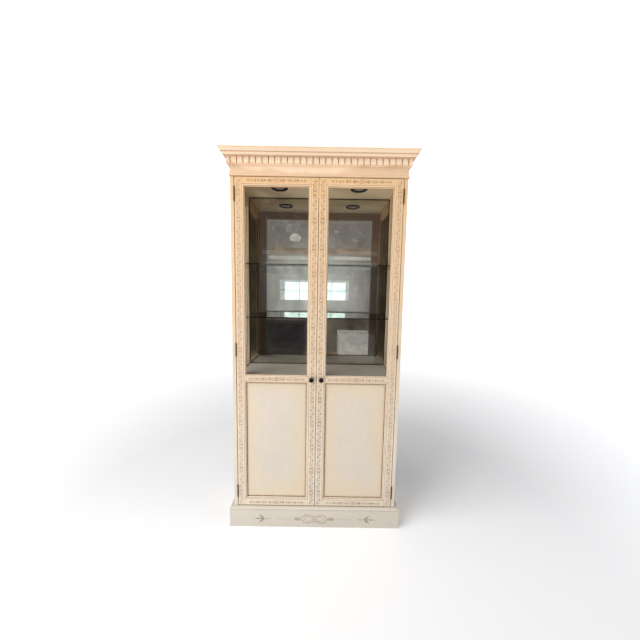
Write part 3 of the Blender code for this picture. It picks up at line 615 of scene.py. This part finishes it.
class Shape:
    """Gathers vertices and faces of one piece."""

    def __init__(self):
        self.verts = []
        self.faces = []

    def add(self, verts, faces):
        start = len(self.verts)
        self.verts.extend(verts)
        self.faces.extend([tuple(start + i for i in face) for face in faces])

    def loft(self, rings):
        """Closed rings of equal length joined in order, with a cap on both ends."""
        count = len(rings[0])
        verts = [v for ring in rings for v in ring]
        faces = []
        for r in range(len(rings) - 1):
            for i in range(count):
                j = (i + 1) % count
                faces.append((r * count + i, r * count + j, (r + 1) * count + j, (r + 1) * count + i))
        faces.append(tuple(reversed(range(count))))
        faces.append(tuple((len(rings) - 1) * count + i for i in range(count)))
        self.add(verts, faces)

    def loft_along(self, centre, axis, outlines):
        """Lofts flat outlines along an axis; outlines are (points, along)."""
        turn = Vector((0, 0, 1)).rotation_difference(Vector(axis)).to_matrix()
        self.loft([
            [Vector(centre) + turn @ Vector((a, b, along)) for a, b in points] for points, along in outlines
        ])


def around(count, across, up):
    """Points round an oval, without coming back to the first."""
    turns = [2 * math.pi * i / count for i in range(count)]
    return [(across * math.cos(turn), up * math.sin(turn)) for turn in turns]


def turned(shape, profile, centre, axis, sides):
    """Adds a turned solid: profile is (radius, along) from one end to the other."""
    shape.loft_along(centre, axis, [(around(sides, radius, radius), along) for radius, along in profile])


def mitred(shape, low, high, profile, place):
    """A moulding round a rectangle from low to high; profile is (inset, out) and closed."""
    (u0, v0), (u1, v1) = low, high
    count = len(profile)
    corners = ((u0, v0, 1, 1), (u1, v0, -1, 1), (u1, v1, -1, -1), (u0, v1, 1, -1))
    rings = [[place(u + a * inset, v + b * inset, out) for inset, out in profile] for u, v, a, b in corners]
    verts = [v for ring in rings for v in ring]
    faces = []
    for c in range(4):
        d = (c + 1) % 4
        for i in range(count):
            j = (i + 1) % count
            faces.append((c * count + i, c * count + j, d * count + j, d * count + i))
    shape.add(verts, faces)


def quarter_round(width, depth):
    """A bead's section: flat on the wall and on the pane, rounded between."""
    steps = 5
    section = [(0.0, 0.0)]
    for i in range(steps + 1):
        angle = math.pi / 2 * i / steps
        section.append((width * math.cos(angle), depth * math.sin(angle)))
    return section


# Beads that hold the glass and the panels -----------------
BEAD_WIDTH = 0.0085
BEAD_DEPTH = 0.0042
BEAD_GAP = 0.0003
SIDE_BEAD_SETBACK = 0.0006  # behind the outer face of the case side
CHANNEL_SECTION = [(0.0, 0.0), (0.0, 0.0028), (0.0038, 0.0028), (0.0045, 0.0020), (0.0045, 0.0)]
CHANNEL_SIDE_INSET = 0.0004
CHANNEL_FOOT_INSET = 0.0006


def add_door_beads():
    for side in DOORS:
        for kind in ("glass", "panel"):
            low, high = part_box(f"{side}_door_{kind}")
            shape = Shape()

            def place(u, v, out, back=high.y):
                return Vector((u, back + BEAD_GAP + out, v))

            depth = min(BEAD_DEPTH, DOOR_BACK - high.y - 2 * BEAD_GAP)
            mitred(shape, (low.x, low.z), (high.x, high.z), quarter_round(BEAD_WIDTH, depth), place)
            add_piece(f"{side}_door_{kind}_bead", shape, side + "_door", CREAM["upright"])


def add_side_beads():
    for side, sign in DOORS.items():
        low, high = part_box(f"{side}_side_glass")
        outer_face = max(abs(low.x), abs(high.x))
        depth = OUTER_X - outer_face - BEAD_GAP - SIDE_BEAD_SETBACK

        def place(u, v, out, face=outer_face, sign=sign):
            return Vector((sign * (face + BEAD_GAP + out), u, v))

        shape = Shape()
        mitred(shape, (low.y, low.z), (high.y, high.z), quarter_round(BEAD_WIDTH, depth), place)
        add_piece(f"{side}_side_glass_bead", shape, "case", CREAM["upright"])


def add_mirror_channel():
    """The thin dark channel that holds the mirror on all four sides."""
    low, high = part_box("mirror")

    def place(u, v, out):
        return Vector((u, low.y - BEAD_GAP - out, v))

    shape = Shape()
    mitred(shape, (low.x + CHANNEL_SIDE_INSET, low.z + CHANNEL_FOOT_INSET),
           (high.x - CHANNEL_SIDE_INSET, high.z - CHANNEL_SIDE_INSET), CHANNEL_SECTION, place)
    add_piece("mirror_channel", shape, "case", CHANNEL)


add_door_beads()
add_side_beads()
add_mirror_channel()


# Shelf pins -----------------------------------------------
PIN_RADIUS = 0.0024
PADDLE_LENGTH = 0.013
PADDLE_WIDTH = 0.009
PADDLE_THICKNESS = 0.0015
PIN_FROM_FRONT = 0.0075
PIN_FROM_BACK = 0.0085
PIN_SINK = 0.004  # how far a pin goes into the case side
PIN_PLAY = 0.0002  # between a paddle and the shelf on it
PADDLE_WALL_GAP = 0.0003
PIN_EDGE = 0.0004


def box_into(shape, low, high):
    x0, y0, z0 = low
    x1, y1, z1 = high
    verts = [
        (x0, y0, z0), (x1, y0, z0), (x1, y1, z0), (x0, y1, z0),
        (x0, y0, z1), (x1, y0, z1), (x1, y1, z1), (x0, y1, z1),
    ]
    faces = [(0, 3, 2, 1), (4, 5, 6, 7), (0, 1, 5, 4), (1, 2, 6, 5), (2, 3, 7, 6), (3, 0, 4, 7)]
    shape.add([Vector(v) for v in verts], faces)


def add_shelf_pins():
    for shelf in ("lower_glass_shelf", "upper_glass_shelf", "cupboard_shelf"):
        low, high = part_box(shelf)
        shape = Shape()
        for sign in (-1, 1):
            for y in (low.y + PIN_FROM_FRONT, high.y - PIN_FROM_BACK):
                wall = sign * INNER_X
                top = low.z - PIN_PLAY
                tip = wall - sign * PADDLE_LENGTH
                base = wall + sign * PIN_SINK
                reach = abs(base - tip) * 0.6
                profile = [(PIN_RADIUS * 0.8, 0.0), (PIN_RADIUS, 0.0006), (PIN_RADIUS, reach)]
                centre = (base, y, top - PADDLE_THICKNESS - PIN_RADIUS * 0.6)
                turned(shape, profile, centre, (-sign, 0, 0), sides=16)
                first, last = sorted((tip, wall - sign * PADDLE_WALL_GAP))
                box_into(shape, (first, y - PADDLE_WIDTH / 2, top - PADDLE_THICKNESS),
                         (last, y + PADDLE_WIDTH / 2, top))
        pins = add_piece(shelf + "_pins", shape, "case", STEEL)
        bevel = pins.modifiers.new("soft_edges", "BEVEL")
        bevel.width = PIN_EDGE
        bevel.segments = 2
        bevel.limit_method = "ANGLE"


add_shelf_pins()


# Stencilled ornament --------------------------------------
INK_LIFT = 0.00012
INK_THICKNESS = 0.00008
STILE_LINE = 0.0025
STILE_UNITS = 13
BRAID_WIDTH = 0.0220
VINE_WIDTH = 0.0260
VINE_BEND = 0.018
STILE_END = 0.008
RAIL_LINE = 0.0026
RAIL_INSET = 0.018  # from the outer edge of a top or bottom rail to its ornament
RAIL_END = 0.010
RAIL_HEIGHTS = {"top": 0.034, "mid": 0.028, "bottom": 0.032}
PLINTH_LINE = 0.0036
PLINTH_ART_HEIGHT = 0.052


class Ornament(Shape):
    """A flat pattern drawn with strokes and leaves in its own plane: u runs along it, v across it."""

    def stroke(self, points, width, taper=0.35):
        """A line whose ends grow thin."""
        count = len(points)
        verts = []
        for i, (u, v) in enumerate(points):
            before = points[max(i - 1, 0)]
            after = points[min(i + 1, count - 1)]
            du, dv = after[0] - before[0], after[1] - before[1]
            length = math.hypot(du, dv) or 1.0
            t = i / (count - 1)
            half = width / 2 * (taper + (1 - taper) * math.sin(math.pi * t) ** 0.5)
            verts.append((u - dv / length * half, v + du / length * half))
            verts.append((u + dv / length * half, v - du / length * half))
        self.add(verts, [(a, a + 1, a + 3, a + 2) for a in range(0, 2 * count - 2, 2)])

    def leaf(self, u, v, angle, length, width):
        """A pointed leaf from its stem end."""
        steps = 6
        ca, sa = math.cos(angle), math.sin(angle)
        rim = []
        for i in range(2 * steps):
            t = min(i, 2 * steps - i) / steps
            side = 1 if i <= steps else -1
            rim.append((t * length, side * width / 2 * math.sin(math.pi * t ** 0.8)))
        self.add([(u + a * ca - b * sa, v + a * sa + b * ca) for a, b in rim], [range(2 * steps)])

    def dot(self, u, v, radius):
        rim = [(u + a, v + b) for a, b in around(10, radius, radius)]
        self.add(rim, [range(len(rim))])

    def ring(self, u, v, across, up, line, count):
        points = [(u + a, v + b) for a, b in around(count, across, up)]
        self.stroke(points + points[:1], line, taper=1.0)

    def curl(self, u, v, angle, size, turn, width, turns):
        """A scroll that leaves (u, v) at an angle and winds up; turn is +1 or -1."""
        points = []
        heading, step = angle, size * 0.16
        for i in range(26):
            points.append((u, v))
            u += math.cos(heading) * step
            v += math.sin(heading) * step
            heading += turn * (0.10 + turns * 0.022 * i)
            step *= 0.955
        self.stroke(points, width)

    def rosette(self, u, v, reach, line):
        """A small ring with a bud inside."""
        self.ring(u, v, reach, 0.8 * reach, line, 14)
        self.dot(u, v, line * 0.9)


def braid(art, start, length, height, ovals, line):
    """Two lines that cross and part, with a bud inside each oval and a leaf pair at each crossing."""
    steps = ovals * 12
    for sign in (-1, 1):
        points = []
        for i in range(steps + 1):
            t = i / steps
            swell = math.sin(math.pi * t) ** 0.25 if 0 < t < 1 else 0.0
            points.append((start + t * length, sign * height / 2 * swell * math.sin(math.pi * ovals * t)))
        art.stroke(points, line, taper=0.85)
    for i in range(ovals):
        art.dot(start + (i + 0.5) / ovals * length, 0.0, line * 0.9)
        if i > 0:
            cross = start + i / ovals * length
            for sign in (-1, 1):
                art.leaf(cross, sign * height * 0.12, sign * math.pi / 2, height * 0.40, line * 2.2)


def vine(art, start, length, height, line):
    """A wave with a curl and a leaf on the outside of each bend."""
    bends = max(2, round(length / VINE_BEND))
    points = []
    for i in range(bends * 8 + 1):
        t = i / (bends * 8)
        points.append((start + t * length, height * 0.24 * math.sin(math.pi * bends * t)))
    art.stroke(points, line, taper=0.5)
    for i in range(bends):
        u = start + (i + 0.5) / bends * length
        out = 1 if i % 2 == 0 else -1
        art.curl(u, out * height * 0.20, out * 0.9, height * 0.30, -out, line * 0.9, turns=1.6)
        art.leaf(u, out * height * 0.18, out * 2.2, height * 0.34, line * 2.3)
        art.leaf(u, -out * height * 0.06, -out * 1.2, height * 0.36, line * 2.0)


def stile_art(length):
    """Chains of ovals and curling vines in turn along a stile."""
    art = Ornament()
    pitch = length / STILE_UNITS
    for i in range(STILE_UNITS):
        middle = (i + 0.5) * pitch
        braid(art, middle - pitch * 0.22, pitch * 0.44, BRAID_WIDTH, 3, STILE_LINE)
        vine(art, middle - pitch * 0.50, pitch * 0.28, VINE_WIDTH, STILE_LINE)
        vine(art, middle + pitch * 0.22, pitch * 0.28, VINE_WIDTH, STILE_LINE)
    return art


def rail_art(length, height):
    """Mirrored scrolls, leaves and rings to both sides of a small oval."""
    art = Ornament()
    line = RAIL_LINE
    art.ring(0.0, 0.0, 0.014, height * 0.30, line, 24)
    art.rosette(0.0, 0.0, 0.0046, line * 0.8)
    scrolls = 4
    first = 0.018
    span = (length / 2 - RAIL_END - first) / scrolls
    for sign, way in ((-1, math.pi), (1, 0.0)):
        for i in range(scrolls):
            fade = 1.0 - 0.10 * i
            u = sign * (first + span * i)
            reach = height * 0.30 * fade
            for up in (-1, 1):
                art.curl(u, up * height * 0.05, way + sign * up * 0.75, reach, -sign * up, line, turns=1.4)
                art.leaf(u + sign * span * 0.45, up * height * 0.04, way + sign * up * 1.0, reach, line * 2.5)
            if i % 2:
                art.rosette(u + sign * span * 0.72, 0.0, height * 0.15 * fade, line * 0.8)
            else:
                art.leaf(u + sign * span * 0.50, 0.0, way, span * 0.42, line * 2.2)
    return art


def plinth_art():
    """A double-lined cartouche with feathered tips, faint dashes and an open three-way sprig at each end."""
    art = Ornament()
    line = PLINTH_LINE
    tip = 0.080
    half = [(0.016, 0.0160), (0.036, 0.0275), (0.058, 0.0240), (tip, 0.0), (0.058, -0.0240),
            (0.036, -0.0275), (0.016, -0.0170)]
    inner = [(0.022, 0.0085), (0.040, 0.0175), (0.062, 0.0), (0.040, -0.0175), (0.022, -0.0090)]

    def straight(start, length, count, width):
        art.stroke([(sign * (start + length * i / (count - 1)), 0.0) for i in range(count)], width)

    for sign, way in ((-1, math.pi), (1, 0.0)):
        outline = [(0.0, 0.0165), *((sign * u, v) for u, v in half), (0.0, -0.0170)]
        art.stroke(outline, line, taper=0.95)
        art.stroke([(sign * u, v) for u, v in inner], line * 0.6, taper=0.9)
        straight(tip, 0.038, 7, line * 0.8)
        for i in range(4):
            for up in (-1, 1):
                art.leaf(sign * (tip + 0.004 + 0.009 * i), 0.0, way + sign * up * 0.80, 0.021 - 0.003 * i,
                         line * 1.1)
        for i in range(4):
            straight(0.137 + 0.024 * i, 0.015, 4, line * 0.5)
        straight(0.256, 0.040, 6, line * 0.8)
        for v, reach in ((-0.019, 0.024), (0.0, 0.054), (0.019, 0.024)):
            arm = [(sign * (0.296 + reach * i / 6), v * i / 6) for i in range(7)]
            art.stroke(arm, line, taper=0.6)
            heading = math.atan2(v, sign * reach)
            for j in (2, 4):
                for up in (-1, 1):
                    art.leaf(*arm[j], heading + up * 0.7, 0.0085, line * 1.3)
            art.leaf(*arm[-1], heading, 0.009, line * 1.5)
    for k in (-1, 0, 1):
        art.stroke([(-0.017 + 0.034 * i / 6, 0.0065 * k) for i in range(7)], line * 0.6)
    return art


def put_art(name, art, body, material, place):
    """Lays an ornament on a face as a thin film of ink."""
    shape = Shape()
    shape.add([place(u, v) for u, v in art.verts], art.faces)
    ink = add_piece(name, shape, body, material).modifiers.new("ink", "SOLIDIFY")
    ink.thickness = INK_THICKNESS
    ink.offset = 0.0


def add_stencils():
    for side, sign in DOORS.items():
        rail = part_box(f"{side}_door_top_rail")
        flat_inner, flat_outer = sorted(abs(corner.x) for corner in rail)
        for kind, edge in (("hinge", flat_outer), ("meeting", flat_inner)):
            low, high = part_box(f"{side}_door_{kind}_stile")
            rim = (max if kind == "hinge" else min)(abs(low.x), abs(high.x))

            def place(u, v, x=sign * (rim + edge) / 2, top=high.z - STILE_END):
                return Vector((x + v, FRONT - INK_LIFT, top - u))

            art = stile_art(high.z - low.z - 2 * STILE_END)
            ink = STENCIL if kind == "meeting" else STENCIL_SOFT
            put_art(f"{side}_door_{kind}_stile_stencil", art, side + "_door", ink, place)
        for kind, height in RAIL_HEIGHTS.items():
            low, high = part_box(f"{side}_door_{kind}_rail")
            middle = (low.z + high.z) / 2
            centres = {"top": high.z - RAIL_INSET, "mid": middle, "bottom": low.z + RAIL_INSET}

            def place(u, v, x=sign * (flat_inner + flat_outer) / 2, z=centres[kind]):
                return Vector((x + u, FRONT - INK_LIFT, z + v))

            art = rail_art(flat_outer - flat_inner - 2 * RAIL_END, height)
            put_art(f"{side}_door_{kind}_rail_stencil", art, side + "_door", STENCIL, place)

    def place(u, v):
        return Vector((u, PLINTH_FACE - INK_LIFT, PLINTH_ART_HEIGHT + v))

    put_art("plinth_stencil", plinth_art(), "case", STENCIL_GREY, place)


add_stencils()


# Lamps, hinge screws, catch plates, back nails ------------
LAMP_PROFILE = [(0.0335, 0.0), (0.0335, 0.0030), (0.0300, 0.0055), (0.0200, 0.0062), (0.0060, 0.0064),
                (0.0004, 0.0065)]
LAMP_HEIGHT = 0.010  # above the lowest edge of the light's ring
SCREW_RADIUS = 0.0026
LEAF_THICKNESS = 0.0009
SCREW_PLACES = ((0.18, 0.0115), (0.5, 0.0055), (0.82, 0.0115))  # share of the height, depth behind the face
CATCH_X = 0.0155
CATCH_PROFILE = [(0.0068, 0.0), (0.0068, 0.0005), (0.0060, 0.0008), (0.0022, 0.0008)]
CATCH_GAP = 0.00005
CATCH_SCREW_RADIUS = 0.0021
CATCH_SCREW_OUT = 0.0009
NAIL_PROFILE = [(0.0022, 0.0), (0.0022, 0.0003), (0.0014, 0.0006)]
NAIL_INSET = 0.008
NAIL_END = 0.03
NAIL_SPACES = 13  # up each side of the back board
NAIL_ROWS = (0.108, 0.902, 2.011)  # along the cupboard floor, the display deck and the ceiling


def add_lamps():
    g = Graph("lamp_glass")
    ribs = g.noise(240.0, 3.0, 0.5)
    tone = g.mix(g.fit(ribs, 0.3, 0.7), linear(170, 160, 144), linear(146, 136, 120))
    rough = g.fit(ribs, 0.3, 0.7, 0.12, 0.3)
    g.principled(Base_Color=tone, Roughness=rough, Normal=g.bump(ribs, 0.3, 0.0004))
    for side in DOORS:
        low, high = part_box(f"{side}_ceiling_light")
        centre = (low + high) / 2
        centre.z = low.z + LAMP_HEIGHT
        shape = Shape()
        turned(shape, LAMP_PROFILE, centre, (0, 0, -1), sides=36)
        add_piece(f"{side}_lamp", shape, "case", g.material, smooth=True)


def screw_into(shape, centre, normal, radius):
    """A flat head with a cross cut into it."""
    arm, half = radius * 0.62, radius * 0.15
    quarter = [(arm, -half), (arm, half), (half, half)]
    cross = [*quarter, *((-b, a) for a, b in quarter), *((-a, -b) for a, b in quarter),
             *((b, -a) for a, b in quarter)]
    rim = [(radius * a / math.hypot(a, b), radius * b / math.hypot(a, b)) for a, b in cross]
    shape.loft_along(centre, normal, ((rim, -0.0004), (rim, 0.0002), (cross, 0.0004), (cross, -0.0006)))


def add_hinge_screws():
    for side, sign in DOORS.items():
        faces = {"case": INNER_X - LEAF_THICKNESS, side + "_door": DOOR_OUTER + LEAF_THICKNESS}
        for body, face in faces.items():
            leaf, out = ("case", -sign) if body == "case" else ("door", sign)
            shape = Shape()
            for place in ("bottom", "middle", "top"):
                low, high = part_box(f"{side}_{place}_hinge_{leaf}_leaf")
                for share, depth in SCREW_PLACES:
                    centre = (sign * face, FRONT + depth, low.z + (high.z - low.z) * share)
                    screw_into(shape, centre, (out, 0, 0), SCREW_RADIUS)
            add_piece(f"{side}_hinge_screws_on_{body}", shape, body, BRONZE)


def add_catch_plates():
    low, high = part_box("door_catch")
    z = (low.z + high.z) / 2
    for side, sign in DOORS.items():
        shape = Shape()
        turned(shape, CATCH_PROFILE, (sign * CATCH_X, DOOR_BACK + CATCH_GAP, z), (0, 1, 0), sides=28)
        screw_into(shape, (sign * CATCH_X, DOOR_BACK + CATCH_SCREW_OUT, z), (0, 1, 0), CATCH_SCREW_RADIUS)
        add_piece(f"{side}_catch_plate", shape, side + "_door", STEEL)


def add_back_nails():
    low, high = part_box("back_board")
    left, right = low.x + NAIL_INSET, high.x - NAIL_INSET
    spots = []
    for i in range(NAIL_SPACES + 1):
        z = low.z + NAIL_END + (high.z - low.z - 2 * NAIL_END) * i / NAIL_SPACES
        spots += [(left, z), (right, z)]
    for i in range(1, 6):
        spots += [(left + (right - left) * i / 6, z) for z in NAIL_ROWS]
    shape = Shape()
    for x, z in spots:
        turned(shape, NAIL_PROFILE, (x, high.y, z), (0, 1, 0), sides=12)
    add_piece("back_nails", shape, "case", STEEL)


add_lamps()
add_hinge_screws()
add_catch_plates()
add_back_nails()


# Stage ----------------------------------------------------
FLOOR_GAP = 0.0002
STAGE_SIDES = 72
STAGE_FLOOR = 5.0  # radius of the flat floor, which curves up beyond it
STAGE_CURVE = 2.0
STAGE_WALL = [(7.0, 4.0), (7.0, 6.5), (5.5, 8.0), (0.02, 8.3)]
PAPER = (0.940, 0.948, 0.962)


def level_ring(radius, z, sides):
    return [Vector((x, y, z)) for x, y in around(sides, radius, radius)]


def lit_only(g, surface, factor):
    """Shows a surface where factor is 1 and lets rays pass where it is 0."""
    clear = g.node("ShaderNodeBsdfTransparent").outputs[0]
    mixed = g.node("ShaderNodeMixShader", {0: factor, 1: clear, 2: surface}).outputs[0]
    g.tree.links.new(mixed, g.output.inputs["Surface"])


def stage_paper():
    """Pale matt studio paper with a little light of its own, stronger up the wall."""
    g = Graph("stage_paper")
    away = g.node("ShaderNodeVectorMath", {0: g.place}, operation="LENGTH").outputs["Value"]
    speck = g.fit(g.noise(40.0), 0.3, 0.7, 0.985, 1.0)
    glow = g.fit(away, 1.6, 4.6, 0.03, 0.62)
    base = g.mix(speck, tuple(0.97 * c for c in PAPER), PAPER)
    paper = g.principled(Base_Color=base, Roughness=0.95, Specular_IOR_Level=0.0,
                         Emission_Color=(1.0, 1.0, 1.0), Emission_Strength=glow)
    lit_only(g, paper.outputs[0], g.math("SUBTRACT", 1.0, g.in_reflection()))
    return g.material


def add_stage():
    """A round pale floor that curves up into a wall on every side."""
    profile = [(0.01, 0.0), (1.2, 0.0), (2.4, 0.0), (4.0, 0.0), (STAGE_FLOOR, 0.0)]
    for i in range(1, 13):
        angle = math.pi / 2 * i / 12
        profile.append((STAGE_FLOOR + STAGE_CURVE * math.sin(angle), STAGE_CURVE * (1 - math.cos(angle))))
    profile += STAGE_WALL
    shape = Shape()
    shape.loft([level_ring(radius, z - FLOOR_GAP, STAGE_SIDES) for radius, z in profile])
    stage = new_object("stage", shape.verts, shape.faces, stage_paper(), smooth=True)
    hide_from(stage, "glossy", "diffuse", "shadow")


# The room across from the cabinet, seen only in the mirror and the glass ----
ROOM_WALL = -3.5
ROOM_RADIUS = 9.5
ROOM_MIDDLE = 2.0
WINDOW_MIDDLE = (-0.10, ROOM_WALL, 1.48)
WINDOW_PANES = [
    (x0, z0, x1, z1, 0.03)
    for x0, x1 in ((-0.67, -0.40), (-0.38, -0.10), (-0.05, 0.22), (0.24, 0.50))
    for z0, z1 in ((1.34, 1.50), (1.515, 1.67))
]
LAMPSHADE = [(0.01, 0.0), (0.07, 0.02), (0.10, 0.06), (0.06, 0.12), (0.01, 0.14)]
# Each thing: boxes (x and z from, x and z to, how far out of the wall), its two tones, the scale of their
# patches and the strength of its light
ROOM_THINGS = {
    "room_wall_low": ([(-1.02, 0.0, 1.02, 1.12, 0.01)], (70, 62, 58), (122, 108, 102), 2.6, 1.4),
    "room_wall_sides": ([(-2.4, 0.0, -1.02, 2.9, 0.01), (1.02, 0.0, 2.4, 2.9, 0.01)],
                        (50, 42, 36), (92, 78, 66), 2.4, 1.4),
    "room_floor": ([(-1.9, -0.6, 1.9, 0.32, 0.02)], (120, 96, 80), (150, 128, 110), 2.0, 1.4),
    "room_window": (WINDOW_PANES, (206, 236, 240), (255, 255, 255), 3.0, 3.2),
    "room_valance": ([(-0.97, 2.20, 0.97, 2.31, 0.05)], (136, 114, 98), (176, 152, 132), 5.0, 1.4),
    "room_rail": ([(-0.97, 2.10, 0.97, 2.16, 0.04), (-0.97, 1.92, 0.97, 1.97, 0.04)],
                  (196, 190, 184), (228, 224, 218), 4.0, 1.4),
    "room_dark_chest": ([(-1.05, 0.32, -0.26, 0.93, 0.35)], (46, 42, 44), (66, 62, 64), 3.0, 1.4),
    "room_pale_chest": ([(0.36, 0.32, 0.92, 0.76, 0.30)], (168, 160, 160), (204, 196, 194), 8.0, 1.4),
}


def glow_material(name, first, second, scale, strength):
    """Two soft tones of light in broad patches."""
    g = Graph(name)
    patches = g.fit(g.noise(scale, 3.0, 0.55), 0.35, 0.65)
    tone = g.mix(patches, linear(*first), linear(*second))
    light = g.node("ShaderNodeEmission", {"Color": tone, "Strength": strength})
    lit_only(g, light.outputs[0], g.in_reflection())
    return g.material


def wall_material():
    """A papered wall, bright round the window and dimmer away from it, with soft streaks of light."""
    g = Graph("room_wall")
    way = g.node("ShaderNodeVectorMath", {0: g.place, 1: WINDOW_MIDDLE}, operation="SUBTRACT").outputs[0]
    far = g.node("ShaderNodeVectorMath", {0: way}, operation="LENGTH").outputs["Value"]
    glow = g.fit(far, 0.35, 1.15, 1.0, 0.0)
    base = g.mix(glow, linear(140, 132, 130), linear(206, 204, 202))
    streaks = g.fit(g.noise(5.0, 5.0, 0.65, place=g.scaled((1.0, 1.0, 0.35))), 0.4, 0.7, 0.0, 0.45)
    base = g.mix(streaks, base, linear(84, 76, 74))
    base = g.mix(g.fit(g.noise(9.0, 4.0, 0.6), 0.60, 0.74, 0.0, 0.5), base, linear(225, 224, 226))
    light = g.node("ShaderNodeEmission", {"Color": base, "Strength": 1.6})
    lit_only(g, light.outputs[0], g.in_reflection())
    return g.material


def reflected(name, shape, material):
    """A thing only seen in the mirror and the glass."""
    thing = new_object(name, shape.verts, shape.faces, material)
    hide_from(thing, "camera", "diffuse", "shadow")


def on_wall(boxes):
    shape = Shape()
    for x0, z0, x1, z1, out in boxes:
        box_into(shape, (x0, ROOM_WALL, z0), (x1, ROOM_WALL + out, z1))
    return shape


def add_room():
    shell = Shape()
    rings = []
    for j in range(13):
        polar = math.pi * (0.02 + 0.96 * j / 12)
        height = ROOM_MIDDLE - ROOM_RADIUS * math.cos(polar)
        rings.append(level_ring(ROOM_RADIUS * math.sin(polar), height, 32))
    shell.loft(rings)
    reflected("room_shell", shell, glow_material("room_shell", (58, 53, 49), (74, 68, 64), 0.28, 1.4))
    reflected("room_wall", on_wall([(-1.02, 1.12, 1.02, 2.9, 0.01)]), wall_material())
    for name, (boxes, *light) in ROOM_THINGS.items():
        reflected(name, on_wall(boxes), glow_material(name, *light))
    lamp = Shape()
    turned(lamp, LAMPSHADE, (-0.42, ROOM_WALL + 0.6, 2.32), (0, 0, 1), sides=32)
    reflected("room_lamp", lamp, glow_material("room_lamp", (170, 162, 154), (235, 230, 222), 14.0, 1.6))


add_stage()
add_room()


# Light ----------------------------------------------------
def add_light(name, at, towards, size, power, colour):
    data = bpy.data.lights.new(name, "AREA")
    data.shape = "RECTANGLE"
    data.size, data.size_y = size
    data.energy = power
    data.color = colour
    light = bpy.data.objects.new(name, data)
    light.location = at
    light.rotation_mode = "QUATERNION"
    light.rotation_quaternion = (Vector(towards) - Vector(at)).to_track_quat("-Z", "Y")
    hide_from(light, "camera", "glossy", "transmission")
    SCENE.collection.objects.link(light)


def add_world():
    """Soft neutral light from all round, stronger from the pale floor below."""
    world = bpy.data.worlds.new("world")
    world.use_nodes = True
    tree = world.node_tree
    place = tree.nodes.new("ShaderNodeTexCoord")
    parts = tree.nodes.new("ShaderNodeSeparateXYZ")
    ramp = tree.nodes.new("ShaderNodeValToRGB")
    shift = tree.nodes.new("ShaderNodeMapRange")
    shift.inputs["From Min"].default_value = -1.0
    below, above = ramp.color_ramp.elements
    below.position = 0.35
    below.color = (0.90, 0.895, 0.89, 1.0)
    above.position = 0.62
    above.color = (0.26, 0.26, 0.265, 1.0)
    tree.links.new(place.outputs["Generated"], parts.inputs[0])
    tree.links.new(parts.outputs[2], shift.inputs["Value"])
    tree.links.new(shift.outputs[0], ramp.inputs["Fac"])
    tree.links.new(ramp.outputs["Color"], tree.nodes["Background"].inputs["Color"])
    SCENE.world = world


LIFT_SIZE = (0.36, 0.16)  # the light the pale deck throws back on the ceiling
LIFT_HEIGHT = 1.60
WARM = (1.0, 0.98, 0.95)

add_world()
add_light("key_low", (-2.2, -2.5, 0.3), (0.0, 0.0, 1.2), (0.7, 0.9), 43.0, (1.0, 0.99, 0.98))
add_light("key_high", (-3.0, -2.0, 5.45), (0.0, 0.0, 0.6), (3.8, 3.8), 285.0, (1.0, 0.995, 0.99))
add_light("right_fill", (4.2, -1.2, 2.6), (0.0, 0.0, 1.0), (3.0, 3.0), 62.0, (0.99, 0.995, 1.0))
for side, x, power in (("left", -0.22, 0.22), ("right", 0.24, 0.50)):
    add_light(side + "_ceiling_lift", (x, 0.0, LIFT_HEIGHT), (x, 0.0, 2.0), LIFT_SIZE, power, WARM)
